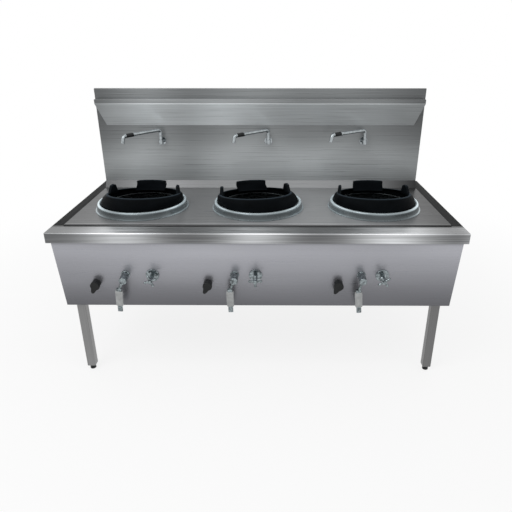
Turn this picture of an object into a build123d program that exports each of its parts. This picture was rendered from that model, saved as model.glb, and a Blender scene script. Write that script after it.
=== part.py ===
"""Three-hole commercial wok range in stainless steel, in millimetres.

The floor is z = 0, +X is to the cook's right and -Y faces the cook. The origin is on the floor
under the middle of the range's overall box. Every piece is a solid of its own, written to parts/.
"""
from build123d import *
import os
from math import asin, atan2, cos, degrees, radians, sin, tan

os.makedirs("parts", exist_ok=True)

# ---------------------------------------------------------------- driving sizes: the table
width = 1800.0               # over the side rims
depth = 850.0                # front apron to the back of the range
rim_top = 758.0              # height of the rims over the floor
side_rim_width = 50.0
front_rim_depth = 92.0
apron_height = 46.0
rim_return = 18.0            # folded in under the side aprons
front_return = 12.0          # folded in under the front apron
inner_flange = 20.0          # folded down along the deck
sheet = 1.5                  # rims, panels and splashback
bend = 3.0                   # outer radius of a fold
deck_sheet = 2.0
deck_rise = 4.0              # deck over the rims
deck_bend = 3.0
deck_lip = 18.0              # folded down round the deck
seam = 0.3                   # gap left between neighbouring pieces
sharpest_bend = 0.1          # inside radius of a bend, at least this share of the sheet
most_rounding = 0.9          # share of a corner or a thickness that a rounding may take

# ---------------------------------------------------------------- driving sizes: the body
body_height = 332.0          # from under the apron to the body's bottom edge
panel_lean = 45.0            # the front panel's foot stands this far behind its top
bottom_fold = 20.0
top_fold = 18.0
side_panel_rise = 16.0       # side panels reach this far up inside the rims
leg_width = 40.0
leg_wall = 2.0
leg_corner = 4.5
leg_chamfer = 4.0            # at the foot, no more than the corners allow
leg_inset = 50.0             # from the table's outer edge to the leg's outer face
front_leg_y = 80.0           # apron to the front legs' front face
rear_leg_gap = 10.0          # rear legs' back face to the back of the range
foot_height = 20.0
foot_radius = 14.0
foot_edge = 1.5
foot_stem_radius = 6.0
foot_stem_length = 55.0
insert_height = 12.0         # threaded plug in the leg's end
rail_depth = 25.0
rail_height = 40.0
rail_wall = 2.0
rail_rise = 2.0              # rails over the body's bottom edge
rail_setback = 8.0           # leg's front face to the rail's
pan_sheet = 1.5
pan_edge = 6.0              # folded up round the pan

# ---------------------------------------------------------------- driving sizes: the splashback
splash_front = 710.0         # apron to the splashback's face
splash_height = 519.0        # over the rims
hem = 22.0                   # folded back along the top
hem_lip = 12.0
duct_drop = 54.0             # top of the splashback to the top of the closed box behind it
cove_height = 40.0
cove_depth = 22.0
shelf_depth = 50.0
shelf_drop = 49.0            # top of the splashback to the shelf's top
shelf_lip = 22.0             # height of its front lip
shelf_fall = 112.0           # foot of the lip to where the underside meets the splashback
shelf_end_inset = 10.0       # end of the shelf to the end of the splashback
shelf_foot_inset = 44.0
shelf_bend = 2.5
vent_width = 120.0
vent_height = 9.0
vent_rows = 4
vent_columns = 6
vent_row_pitch = 24.0
vent_column_pitch = 240.0
vent_drop = 90.0             # top of the duct to the middle of its vents

# ---------------------------------------------------------------- driving sizes: the burners
burner_share = 0.31056       # pitch of the burners as a share of the width
burner_shift = -4.0          # the middle burner stands left of the middle
burner_y = 355.0             # apron to the burners' axes
deck_hole_radius = 200.0
collar_radius = 220.0
collar_edge = 3.0
wall_foot_radius = 214.0
wall_top_radius = 208.0
lip_height = 31.0            # over the deck, as all heights of the burners are
lip_radius = 5.0
collar_wall = 2.5
ledge_height = 18.0          # the wok ring rests here
ledge_radius = 176.0
ledge_thickness = 4.0
skirt_gap = 1.0              # skirt to the edge of the deck's hole
skirt_depth = 32.0
ring_radius = 196.0
ring_foot_height = 20.0
ring_top_radius = 175.0
ring_wall = 11.0
ring_edge = 3.0              # rounding of the rim outside, no more than a third of the wall
ring_rim_height = 69.0       # middle of the wok ring's rim
ring_tilt = 7.1              # the rim falls towards the back
ring_seam_turn = 45.0        # the wall's seam stands between two lugs
lug_height = 38.0
lug_root = 8.0
lug_thickness = 14.0
lug_clear = 0.6              # lug's outer face inside the rim's rounding
lug_lean = 5.0               # top of a lug inside its foot
lug_crown = 5.0
back_lug_width = 146.0
back_lug_taper = 4.0         # each side of a lug leans in this far
side_lug_width = 84.0
side_lug_turn = 8.0          # the side lugs stand this far round towards the back one
side_lug_taper = 22.0
ring_turns = (-1.6, 15.0, 2.8)
chamber_share = 0.6024       # depth of a chamber as a share of the body's height
chamber_neck = 38.0
chamber_radius = 203.0
chamber_foot_radius = 128.0
chamber_wall = 3.0
chamber_flange = 27.0
chamber_hole_radius = 60.0
burner_radius = 55.0
burner_flange_radius = 75.0
burner_flange = 5.0
burner_drop = 64.0           # body under its flange
jet_count = 8
jet_circle_radius = 36.0
jet_radius = 8.0
jet_bore = 4.0
jet_height = 34.0

# ---------------------------------------------------------------- driving sizes: the controls
# how far right of its burner each control stands, and how far down the front panel
knob_aside = (-159.0, -218.0, -193.0)
lever_aside = (-23.0, -97.0, -94.0)
tap_aside = (97.0, -4.0, -1.0)
knob_drop = 208.0
lever_drop = 165.0
tap_drop = 166.0
stem_radius = 5.0
stem_fit = 0.05
stem_hole_gap = 1.0          # round a spindle where it passes the panel
flange_gap = 0.5             # round a spindle where it passes its flange
neck_wall = 3.5
neck_gap = 3.0               # face of the panel to the end of a valve's neck
bore_depth = 26.0
stem_end_gap = 1.0
knob_radius = 21.0
knob_waist_radius = 19.0
knob_reach = 44.0            # axis to the pointer's tip
knob_height = 32.0
knob_gap = 2.0
knob_edge = 2.5
knob_turn = -25.0            # pointer from straight down
pointer_tip_width = 7.0
pointer_height = 24.0
lever_turns = (-5.5, 0.0, 6.0)
lever_boss_radius = 17.0
lever_boss_top = 56.0        # over the panel
lever_boss_edge = 2.0
lever_arm_offset = 47.0      # middle of the arm over the panel
lever_arm_radius = 6.0
lever_shift = -20.0          # grip to the left of the spindle
lever_crank = 50.0
lever_length = 168.0
bar_width = 22.0
bar_thickness = 11.0
bar_corner = 3.6
grip_from = 58.0
grip_length = 78.0
grip_width = 34.0
grip_thickness = 16.0
grip_round = 5.0
grip_fit = 0.05
lever_flange_radius = 20.0
tap_flange_radius = 30.0
flange_thickness = 5.0
flange_round = 2.0
tap_hub_radius = 9.0
tap_top = 62.0               # over the panel
tap_hub_round = 1.5
tap_arm_offset = 50.0
tap_arm_radius = 5.0
tap_arm_reach = 25.0
tap_arm_ball = 6.0
tap_turns = (20.0, 0.0, 35.0)

# ---------------------------------------------------------------- driving sizes: gas and water
gas_pipe_radius = 17.0
gas_pipe_y = 120.0           # apron to its axis
gas_pipe_drop = 168.0        # axis under the rims, as all drops of the pipes are
gas_pipe_end = 33.0          # past the first knob
gas_inlet_bore = 15.1
gas_inlet_depth = 22.0
water_pipe_radius = 11.0
water_pipe_y = 75.0
water_pipe_drop = 138.0
water_pipe_end = 20.0        # past the last tap
water_inlet_bore = 9.3
water_inlet_depth = 16.0
socket_wall = 5.0
socket_length = 34.0
inlet_recess = 1.0           # inlets end this far inside the back
inlet_hole_gap = 1.0
pipe_leg_gap = 25.0          # inner face of a leg to the axis of the run to the back
pipe_bend = 60.0
feed_radius = 10.0
feed_rise = 32.0             # axis over the base pan
feed_bend = 18.0
riser_radius = 8.0
riser_rise = 12.0
riser_bend = 20.0
riser_hole_gap = 0.6
valve_radius = 15.0
pilot_valve_radius = 9.5
tap_valve_radius = 13.0
lever_valve_rise = 38.0       # foot of a valve over the run that leaves it
pilot_valve_rise = 15.0
tap_valve_rise = 50.0
pilot_tube_radius = 3.0
pilot_tube_rise = 32.0
pilot_tube_bend = 12.0
pilot_circle_radius = 92.0   # where a pilot tube comes up, from the burner's axis
pilot_tube_top = 12.0        # over the chamber's floor
pilot_hole_gap = 0.6
spout_aside = (43.0, 47.0, -8.0)   # right of its burner
spout_turns = (44.0, 38.0, 30.0)   # arm out from the wall
spout_stand = 35.0           # swivel axis before the splashback
spout_height = 317.0         # arm's axis over the rims, at the swivel
spout_foot = 266.0
spout_radius = 8.5
spout_length = 210.0
spout_fall = 8.0
spout_bend = 14.0
outlet_drop = 34.0
outlet_lean = 9.0
outlet_bore = 6.0
outlet_bore_depth = 12.0
swivel_radius = 12.0
swivel_height = 22.0
swivel_pin_radius = 6.0
swivel_pin_length = 15.0
wall_flange_radius = 20.0
wall_flange_thickness = 4.0
spout_stub_radius = 8.0
ring_grip_from = 158.0
ring_grip_length = 40.0
ring_grip_wall = 1.8

screw_head_radius = 5.0
screw_head_height = 2.5
screw_radius = 2.0
screw_length = 10.0
screw_gap = 0.2
screw_inset = 9.0            # from the rear panel's edges
rear_screw_columns = 5

# ---------------------------------------------------------------- values worked out from them
half = width / 2
deck_top = rim_top + deck_rise
body_top = rim_top - apron_height
body_foot = body_top - body_height
chamber_depth = chamber_share * body_height
shelf_top = splash_height - shelf_drop            # over the rims, as the next three heights are
shelf_edge = shelf_top - shelf_lip
shelf_foot = shelf_edge - shelf_fall
duct_height = splash_height - duct_drop
panel_top = body_top - seam
lean = atan2(panel_lean, panel_top - body_foot)
tap_front = ((tap_top - tap_hub_round) * cos(lean) + (tap_hub_radius - tap_hub_round) * sin(lean)
             + tap_hub_round - tap_drop * sin(lean))
lever_front = lever_boss_top * cos(lean) + lever_boss_radius * sin(lean) - lever_drop * sin(lean)
front_reach = max(tap_front, lever_front) - front_return
y0 = (front_reach - depth) / 2        # the apron's face, once the overall box is centred
panel_y = y0 + front_return           # the front panel's top edge
front_rim_back = y0 + front_rim_depth
inner_bend = max(bend - sheet, sheet * sharpest_bend)
inner_deck_bend = max(deck_bend - deck_sheet, deck_sheet * sharpest_bend)
splash_y = y0 + splash_front
back_y = y0 + depth
burner_axis_y = y0 + burner_y
burner_x = tuple(burner_shift + step * burner_share * width for step in (-1, 0, 1))
knob_x = tuple(x + aside for x, aside in zip(burner_x, knob_aside))
lever_x = tuple(x + aside for x, aside in zip(burner_x, lever_aside))
tap_x = tuple(x + aside for x, aside in zip(burner_x, tap_aside))
spout_x = tuple(x + aside for x, aside in zip(burner_x, spout_aside))
sides = ("left", "middle", "right")

leg_x = half - leg_inset - leg_width / 2
pipe_side_x = leg_x - leg_width / 2 - pipe_leg_gap
front_leg_axis = y0 + front_leg_y + leg_width / 2
rear_leg_axis = back_y - rear_leg_gap - leg_width / 2
side_face = half - rim_return - seam
deck_half = half - side_rim_width - seam
table_foot = rim_top - inner_flange   # lowest edge of the folded flanges
panel_down = Vector(0, sin(lean), -cos(lean))
panel_out = Vector(0, -cos(lean), -sin(lean))


def over_panel(x, drop, height=0.0):
    """Plane facing the cook at x, drop down the front panel and height over its face."""
    origin = Vector(x, panel_y, panel_top) + panel_down * drop + panel_out * height
    return Plane(origin=origin, x_dir=(1, 0, 0), z_dir=panel_out)


def turned_about(plane, angle):
    """The plane turned about its own normal."""
    x_dir = plane.x_dir.rotate(Axis((0, 0, 0), plane.z_dir), angle)
    return Plane(origin=plane.origin, x_dir=x_dir, z_dir=plane.z_dir)


def folded_sheet(points, plane, length, radius=bend):
    """A sheet folded along the points, its thickness on their right, pulled out of the plane."""
    with BuildPart() as folded:
        with BuildSketch(plane):
            with BuildLine():
                path = FilletPolyline(*points, radius=radius)
                offset(path, amount=sheet, side=Side.RIGHT)
            make_face()
        extrude(amount=length)
    return folded.part


def block(low, high):
    """A square-edged block between two corners."""
    size = tuple(b - a for a, b in zip(low, high))
    with BuildPart() as solid:
        with Locations(low):
            Box(*size, align=(Align.MIN, Align.MIN, Align.MIN))
    return solid.part


def pressed_top(low, high, radius):
    """A block whose front corners and whose top's front and side edges are rounded."""
    with BuildPart() as solid:
        add(block(low, high))
        top_edges = solid.faces().sort_by(Axis.Z)[-1].edges().sort_by(Axis.Y)[:-1]
        front_corners = solid.edges().filter_by(Axis.Z).group_by(Axis.Y)[0]
        fillet(top_edges + front_corners, radius)
    return solid.part


def pipe(points, radius, bend_radius):
    """A round bar along straight runs joined by arcs."""
    with BuildPart() as bar:
        with BuildLine() as line:
            FilletPolyline(*points, radius=bend_radius)
        route = line.wires()[0]
        with BuildSketch(Plane(origin=route @ 0, z_dir=route % 0)):
            Circle(radius)
        sweep(path=route)
    return bar.part


def disc(plane, radius, length):
    """A round bar of the given length out of a plane."""
    with BuildPart() as bar:
        with BuildSketch(plane):
            Circle(radius)
        extrude(amount=length)
    return bar.part


def save(piece, name):
    """Label a finished piece and write it under its name."""
    piece.label = name
    export_step(piece, f"parts/{name}.step")


# ---------------------------------------------------------------- rims
# The front rim is a hollow box section: top, apron, closed ends, a flange along the deck and a
# return under the apron.
with BuildPart() as front_rim:
    add(pressed_top((-half, y0, body_top), (half, front_rim_back, rim_top), bend))
    add(pressed_top((-half + sheet, y0 + sheet, body_top - sheet),
                    (half - sheet, front_rim_back - sheet, rim_top - sheet), inner_bend),
        mode=Mode.SUBTRACT)
    add(block((-half + 2 * sheet, front_rim_back - 2 * sheet, body_top),
              (half - 2 * sheet, front_rim_back, table_foot)), mode=Mode.SUBTRACT)
    add(block((-half + sheet, y0 + sheet / 2, body_top),
              (half - sheet, y0 + front_return, body_top + sheet)))
save(front_rim.part, "front_rim")

with BuildPart() as right_rim:
    add(folded_sheet(
        [(half - side_rim_width, table_foot), (half - side_rim_width, rim_top),
         (half, rim_top), (half, body_top), (half - rim_return, body_top)],
        Plane.XZ.offset(-back_y), depth - front_rim_depth - seam))
save(right_rim.part, "right_rim")

with BuildPart() as left_rim:
    add(mirror(right_rim.part, about=Plane.YZ, mode=Mode.PRIVATE))
save(left_rim.part, "left_rim")

# ---------------------------------------------------------------- deck with its cove strip
deck_front = front_rim_back + seam
cove_front = splash_y - cove_depth
cove_top = rim_top + cove_height
with BuildPart() as deck_plate:
    add(pressed_top((-deck_half, deck_front, deck_top - deck_lip), (deck_half, cove_front, deck_top),
                    deck_bend))
    add(pressed_top((-deck_half + deck_sheet, deck_front + deck_sheet, deck_top - 2 * deck_lip),
                    (deck_half - deck_sheet, cove_front + deck_sheet, deck_top - deck_sheet),
                    inner_deck_bend), mode=Mode.SUBTRACT)
    with BuildSketch(Plane.YZ.offset(-deck_half)):
        with BuildLine():
            Polyline((cove_front - deck_sheet, deck_top), (cove_front, deck_top),
                     (splash_y - seam, cove_top), (splash_y - seam, cove_top - 2 * deck_sheet),
                     (cove_front, deck_top - deck_sheet), (cove_front - deck_sheet, deck_top - deck_sheet),
                     close=True)
        make_face()
    extrude(amount=2 * deck_half)
    with Locations(*[(x, burner_axis_y, deck_top) for x in burner_x]):
        Hole(deck_hole_radius)
save(deck_plate.part, "deck_plate")

# ---------------------------------------------------------------- splashback, shelf and duct
spout_axis_y = splash_y - spout_stand
elbow_z = rim_top + spout_foot - swivel_height / 2
splash_top = rim_top + splash_height
duct_top = rim_top + duct_height
duct_front = splash_y + sheet + seam
riser_axis_y = (duct_front + back_y) / 2

with BuildPart() as splash_panel:
    add(folded_sheet(
        [(splash_y, table_foot), (splash_y, splash_top), (splash_y + hem, splash_top),
         (splash_y + hem, splash_top - hem_lip)],
        Plane.YZ.offset(-deck_half), 2 * deck_half))
    for x in spout_x:
        with BuildSketch(Plane(origin=(x, splash_y, elbow_z), x_dir=(1, 0, 0), z_dir=(0, 1, 0))):
            Circle(riser_radius + riser_hole_gap)
        extrude(amount=sheet, mode=Mode.SUBTRACT)
save(splash_panel.part, "splash_panel")

with BuildPart() as splash_box:
    add(block((-deck_half, duct_front, table_foot), (deck_half, back_y, duct_top)))
    offset(amount=-sheet, openings=splash_box.faces().sort_by(Axis.Y)[0], kind=Kind.INTERSECTION)
    vent_plane = Plane(origin=(0, back_y, duct_top - vent_drop), x_dir=(-1, 0, 0), z_dir=(0, 1, 0))
    with BuildSketch(vent_plane):
        with GridLocations(vent_column_pitch, vent_row_pitch, vent_columns, vent_rows):
            SlotOverall(vent_width, vent_height)
    extrude(amount=-2 * sheet, mode=Mode.SUBTRACT)
    with BuildSketch(Plane.XY.offset(table_foot)):
        with Locations(*[(x, riser_axis_y) for x in spout_x]):
            Circle(riser_radius + riser_hole_gap)
    extrude(amount=2 * sheet, mode=Mode.SUBTRACT)
save(splash_box.part, "splash_box")

# The shelf is a hollow wedge, open towards the splashback, whose ends slope in at the foot.
shelf_back = splash_y - seam


def shelf_wedge(wall, bend_radius):
    """The wedge, with its faces moved in by a wall and its front edges rounded."""
    front = splash_y - shelf_depth
    foot_z = rim_top + shelf_foot
    edge_z = rim_top + shelf_edge
    top_z = rim_top + shelf_top
    end_x = deck_half - shelf_end_inset
    edge_corner = Vector(end_x, front, edge_z)
    back_corner = Vector(end_x, shelf_back, top_z)
    foot_corner = Vector(deck_half - shelf_foot_inset, shelf_back, foot_z)
    end_out = (edge_corner - back_corner).cross(foot_corner - back_corner).normalized()
    end_out = end_out if end_out.X > 0 else end_out * -1
    right_end = Plane(origin=back_corner - end_out * wall, z_dir=end_out)
    left_end = Plane(origin=(-right_end.origin.X, right_end.origin.Y, right_end.origin.Z),
                     z_dir=(-end_out.X, end_out.Y, end_out.Z))
    slope = atan2(edge_z - foot_z, shelf_back - front)
    rise = wall / cos(slope)
    with BuildPart() as wedge:
        with BuildSketch(Plane.YZ.offset(wall - end_x)):
            with BuildLine():
                Polyline((shelf_back + wall, foot_z + rise - wall * tan(slope)),
                         (front + wall, edge_z + rise - wall * tan(slope)),
                         (front + wall, top_z - wall), (shelf_back + wall, top_z - wall), close=True)
            make_face()
        extrude(amount=2 * (end_x - wall))
        split(bisect_by=right_end, keep=Keep.BOTTOM)
        split(bisect_by=left_end, keep=Keep.BOTTOM)
        fillet(wedge.edges().filter_by(Axis.X).group_by(Axis.Y)[0], bend_radius)
    return wedge.part


with BuildPart() as pipe_shelf:
    add(shelf_wedge(0, shelf_bend))
    add(shelf_wedge(sheet, max(shelf_bend - sheet, sheet * sharpest_bend)), mode=Mode.SUBTRACT)
save(pipe_shelf.part, "pipe_shelf")

# ---------------------------------------------------------------- body panels
# The front panel's face covers the side panels' front edges; its folds fit between them.
fold_end = panel_y + panel_lean + bottom_fold
rear_y = back_y - screw_head_height   # the rear panel's outer face
panel_inside = side_face - sheet - seam


def behind_panel(gap):
    """Plane that lies the given gap behind the front panel's inner face."""
    return over_panel(0, 0, -sheet - gap)


with BuildPart() as panel_notch:
    add(block((panel_inside, panel_y, body_foot - sheet), (half, back_y, rim_top)))
    split(bisect_by=behind_panel(0), keep=Keep.BOTTOM)
with BuildPart() as front_panel:
    add(folded_sheet(
        [(fold_end, body_foot), (panel_y + panel_lean, body_foot), (panel_y, panel_top),
         (panel_y + top_fold, panel_top)],
        Plane.YZ.offset(-side_face), 2 * side_face))
    add(panel_notch.part, mode=Mode.SUBTRACT)
    add(mirror(panel_notch.part, about=Plane.YZ, mode=Mode.PRIVATE), mode=Mode.SUBTRACT)
    for xs, drop in ((knob_x, knob_drop), (lever_x, lever_drop), (tap_x, tap_drop)):
        for x in xs:
            add(disc(over_panel(x, drop, -2 * sheet), stem_radius + stem_hole_gap, 3 * sheet),
                mode=Mode.SUBTRACT)
save(front_panel.part, "front_panel")

with BuildPart() as right_side_panel:
    add(folded_sheet(
        [(side_face, body_top + side_panel_rise), (side_face, body_foot),
         (side_face - bottom_fold, body_foot)],
        Plane.XZ.offset(-back_y), depth - front_return))
    split(bisect_by=behind_panel(seam), keep=Keep.BOTTOM)
    for notch_start, notch_end in ((panel_y, fold_end + seam), (rear_y - sheet - seam, back_y)):
        add(block((0, notch_start, body_foot - sheet),
                  (side_face - sheet, notch_end, body_foot + 2 * sheet)), mode=Mode.SUBTRACT)
save(right_side_panel.part, "right_side_panel")

with BuildPart() as left_side_panel:
    add(mirror(right_side_panel.part, about=Plane.YZ, mode=Mode.PRIVATE))
save(left_side_panel.part, "left_side_panel")

gas_z = rim_top - gas_pipe_drop
water_z = rim_top - water_pipe_drop
rear_half = panel_inside
rear_top = table_foot - seam
screw_columns = [(step / (rear_screw_columns - 1) * 2 - 1) * (rear_half - screw_inset)
                 for step in range(rear_screw_columns)]
screw_rows = (body_foot + screw_inset, rear_top - screw_inset)
rear_face = Plane(origin=(0, rear_y, 0), x_dir=(-1, 0, 0), z_dir=(0, 1, 0))
screw_places = [(x, z) for x in screw_columns for z in screw_rows]
with BuildPart() as rear_panel:
    add(block((-rear_half, rear_y - sheet, body_foot), (rear_half, rear_y, rear_top)))
    with BuildSketch(rear_face):
        with Locations((-pipe_side_x, gas_z)):
            Circle(gas_inlet_bore + socket_wall + inlet_hole_gap)
        with Locations((pipe_side_x, water_z)):
            Circle(water_inlet_bore + socket_wall + inlet_hole_gap)
        with Locations(*screw_places):
            Circle(screw_radius + screw_gap)
    extrude(amount=-sheet, mode=Mode.SUBTRACT)
save(rear_panel.part, "rear_panel")

with BuildPart() as panel_screws:
    with BuildSketch(rear_face):
        with Locations(*screw_places):
            Circle(screw_head_radius)
    extrude(amount=screw_head_height)
    with BuildSketch(rear_face):
        with Locations(*screw_places):
            Circle(screw_radius)
    extrude(amount=-screw_length)
save(panel_screws.part, "panel_screws")

# ---------------------------------------------------------------- frame, legs and feet
rail_foot = body_foot + rail_rise
rail_half = leg_x - leg_width / 2 - seam


def rail(middle_y):
    """A rectangular tube between two legs."""
    with BuildPart() as tube:
        with BuildSketch(Plane.YZ.offset(-rail_half)):
            with Locations((middle_y, rail_foot + rail_height / 2)):
                Rectangle(rail_depth, rail_height)
                Rectangle(rail_depth - 2 * rail_wall, rail_height - 2 * rail_wall,
                          mode=Mode.SUBTRACT)
        extrude(amount=2 * rail_half)
    return tube.part


front_rail_y = front_leg_axis - leg_width / 2 + rail_setback + rail_depth / 2
rear_rail_y = rear_leg_axis - leg_width / 2 + rail_setback + rail_depth / 2
with BuildPart() as rails:
    add(rail(front_rail_y))
    add(rail(rear_rail_y))
save(rails.part, "rails")

pan_foot = rail_foot + rail_height + seam
pan_top = pan_foot + pan_edge
with BuildPart() as base_pan:
    add(block((-rail_half, front_rail_y - rail_depth / 2, pan_foot),
              (rail_half, rear_rail_y + rail_depth / 2, pan_top)))
    offset(amount=-pan_sheet, openings=base_pan.faces().sort_by(Axis.Z)[-1], kind=Kind.INTERSECTION)
save(base_pan.part, "base_pan")

for leg_name, side, leg_y in (("front_left", -1, front_leg_axis), ("front_right", 1, front_leg_axis),
                              ("rear_left", -1, rear_leg_axis), ("rear_right", 1, rear_leg_axis)):
    with BuildPart() as leg:
        with BuildSketch(Plane.XY.offset(foot_height + seam)):
            with Locations((side * leg_x, leg_y)):
                RectangleRounded(leg_width, leg_width, leg_corner)
        extrude(amount=table_foot - seam - foot_height - seam)
        chamfer(leg.faces().sort_by(Axis.Z)[0].edges(), min(leg_chamfer, most_rounding * leg_corner))
        with BuildSketch(Plane.XY.offset(foot_height + seam + insert_height)):
            with Locations((side * leg_x, leg_y)):
                Rectangle(leg_width - 2 * leg_wall, leg_width - 2 * leg_wall)
        extrude(amount=table_foot, mode=Mode.SUBTRACT)
        with Locations((side * leg_x, leg_y, foot_height + seam + insert_height)):
            Hole(foot_stem_radius + stem_fit)
    save(leg.part, f"{leg_name}_leg")

    with BuildPart() as foot:
        with BuildSketch(Plane.XY):
            with Locations((side * leg_x, leg_y)):
                Circle(foot_radius)
        extrude(amount=foot_height)
        fillet(foot.edges().filter_by(GeomType.CIRCLE), foot_edge)
        with BuildSketch(Plane.XY.offset(foot_height)):
            with Locations((side * leg_x, leg_y)):
                Circle(foot_stem_radius)
        extrude(amount=foot_stem_length)
    save(foot.part, f"{leg_name}_foot")

# ---------------------------------------------------------------- burners
skirt_radius = deck_hole_radius - skirt_gap
lip_axis = wall_top_radius - lip_radius
mouth_radius = lip_axis - lip_radius
chamber_top = -deck_sheet - seam
chamber_floor = -chamber_depth
burner_seat = chamber_floor + chamber_wall + seam
burner_foot = burner_seat - burner_drop


def turned(x, points):
    """A ring turned about a burner's axis from a closed profile of radius and height."""
    plane = Plane(origin=(x, burner_axis_y, deck_top), x_dir=(1, 0, 0), z_dir=(0, -1, 0))
    with BuildPart() as ring:
        with BuildSketch(plane):
            with BuildLine():
                Polyline(*points, close=True)
            make_face()
        revolve(axis=Axis((x, burner_axis_y, 0), (0, 0, 1)))
    return ring.part


def collar(x):
    """Spun collar: flange, sloping wall, rolled lip, a ledge for the wok ring and a skirt."""
    plane = Plane(origin=(x, burner_axis_y, deck_top), x_dir=(1, 0, 0), z_dir=(0, -1, 0))
    lip_foot = lip_height - lip_radius
    with BuildPart() as ring:
        with BuildSketch(plane):
            with BuildLine():
                Polyline((collar_radius, 0), (collar_radius, collar_edge),
                         (wall_foot_radius, collar_edge), (wall_top_radius, lip_foot))
                ThreePointArc((wall_top_radius, lip_foot), (lip_axis, lip_height),
                              (mouth_radius, lip_foot))
                Polyline((mouth_radius, lip_foot), (mouth_radius, ledge_height),
                         (ledge_radius, ledge_height), (ledge_radius, ledge_height - ledge_thickness),
                         (skirt_radius - collar_wall, ledge_height - ledge_thickness),
                         (skirt_radius - collar_wall, -skirt_depth), (skirt_radius, -skirt_depth),
                         (skirt_radius, ledge_height), (lip_axis - collar_wall, lip_foot),
                         (lip_axis + collar_wall, lip_foot), (wall_foot_radius - collar_wall, 0),
                         (collar_radius, 0))
            make_face()
        revolve(axis=Axis((x, burner_axis_y, 0), (0, 0, 1)))
    return ring.part


def chamber(x):
    """Bowl that hangs under the deck by its flange and carries the burner on its floor."""
    outer = chamber_radius + chamber_wall
    foot = chamber_foot_radius + chamber_wall
    bowl = turned(x, [
        (outer + chamber_flange, chamber_top), (outer + chamber_flange, chamber_top - chamber_wall),
        (outer, chamber_top - chamber_wall), (outer, -chamber_neck), (foot, chamber_floor),
        (chamber_hole_radius, chamber_floor), (chamber_hole_radius, chamber_floor + chamber_wall),
        (chamber_foot_radius, chamber_floor + chamber_wall), (chamber_radius, -chamber_neck),
        (chamber_radius, chamber_top)])
    with BuildPart() as drilled:
        add(bowl)
        with Locations((x - pilot_circle_radius, burner_axis_y, deck_top + chamber_floor + chamber_wall)):
            Hole(pilot_tube_radius + pilot_hole_gap, depth=2 * chamber_wall)
    return drilled.part


def burner(x):
    """Burner body with a flange and a ring of upright jets."""
    seat = Plane.XY.offset(deck_top + burner_seat)
    with BuildPart() as head:
        with BuildSketch(Plane.XY.offset(deck_top + burner_foot)):
            with Locations((x, burner_axis_y)):
                Circle(burner_radius)
        extrude(amount=burner_drop)
        with BuildSketch(seat):
            with Locations((x, burner_axis_y)):
                Circle(burner_flange_radius)
        extrude(amount=burner_flange)
        with BuildSketch(seat):
            with Locations((x, burner_axis_y)):
                with PolarLocations(jet_circle_radius, jet_count):
                    Circle(jet_radius)
        extrude(amount=jet_height)
        with BuildSketch(seat):
            with Locations((x, burner_axis_y)):
                with PolarLocations(jet_circle_radius, jet_count):
                    Circle(jet_bore)
        extrude(amount=jet_height, mode=Mode.SUBTRACT)
    return head.part


def lug(rim_plane, direction, foot_width, taper):
    """A crowned slab that stands on the ring's rim, leans in and tapers to its top."""
    outer = ring_top_radius - ring_edge - lug_clear
    tall = lug_height + lug_crown
    slope = lug_lean / lug_height
    cone_foot = outer + lug_root * slope
    cone_top = outer - tall * slope
    spread = 2 * degrees(asin(foot_width / 2 / cone_top)) + lug_root
    start = turned_about(rim_plane, direction - spread / 2)
    facing = turned_about(rim_plane, direction)
    side = foot_width / 2
    with BuildPart() as slab:
        with BuildSketch(Plane(origin=start.origin, x_dir=start.x_dir, z_dir=-start.y_dir)):
            with BuildLine():
                Polyline((cone_foot, -lug_root), (cone_top, tall), (cone_top - lug_thickness, tall),
                         (cone_foot - lug_thickness, -lug_root), close=True)
            make_face()
        revolve(axis=Axis(rim_plane.origin, rim_plane.z_dir), revolution_arc=spread)
        with BuildSketch(Plane(origin=facing.origin, x_dir=facing.y_dir, z_dir=facing.x_dir)):
            with BuildLine():
                Polyline((side - taper, lug_height - lug_crown), (side, -lug_root),
                         (-side, -lug_root), (-side + taper, lug_height - lug_crown))
                ThreePointArc((-side + taper, lug_height - lug_crown), (0, lug_height),
                              (side - taper, lug_height - lug_crown))
            make_face()
        extrude(amount=2 * ring_top_radius, mode=Mode.INTERSECT)
    return slab.part


def wok_ring():
    """Cast ring: upright foot, wall that narrows to a rim falling to the back, three lugs.

    It is made about the z axis, with z = 0 on the deck.
    """
    tilt = radians(ring_tilt)
    rim_plane = Plane(origin=(0, 0, ring_rim_height), x_dir=(1, 0, 0), z_dir=(0, sin(tilt), cos(tilt)))
    rim_axis = Axis(rim_plane.origin, rim_plane.z_dir)
    rim = turned_about(rim_plane, ring_seam_turn)
    foot = turned_about(Plane.XY, ring_seam_turn).offset(ledge_height + seam)
    with BuildPart() as ring:
        with BuildSketch(foot):
            Circle(ring_radius)
        extrude(amount=ring_foot_height)
        with BuildSketch(foot.offset(ring_foot_height)):
            Circle(ring_radius)
        with BuildSketch(rim):
            Circle(ring_top_radius)
        loft(ruled=True)
        fillet(ring.faces().sort_by(rim_axis)[-1].edges(), min(ring_edge, ring_wall / 3))
        with BuildSketch(foot):
            Circle(ring_radius - ring_wall)
        with BuildSketch(rim):
            Circle(ring_top_radius - ring_wall)
        loft(ruled=True, mode=Mode.SUBTRACT)
        add(lug(rim_plane, 90, back_lug_width, back_lug_taper))
        add(lug(rim_plane, 180 - side_lug_turn, side_lug_width, side_lug_taper))
        add(lug(rim_plane, side_lug_turn, side_lug_width, side_lug_taper))
    return ring.part


ring_casting = wok_ring()
for side_name, x, turn in zip(sides, burner_x, ring_turns):
    save(collar(x), f"{side_name}_collar")
    save(chamber(x), f"{side_name}_chamber")
    ring_place = Location((x, burner_axis_y, deck_top), (0, 0, turn))
    save(ring_casting.moved(ring_place), f"{side_name}_wok_ring")

with BuildPart() as burner_heads:
    for x in burner_x:
        add(burner(x))
save(burner_heads.part, "burner_heads")

# ---------------------------------------------------------------- gas
gas_axis_y = y0 + gas_pipe_y
inlet_end = back_y - inlet_recess
socket_start = inlet_end - socket_length


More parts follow.
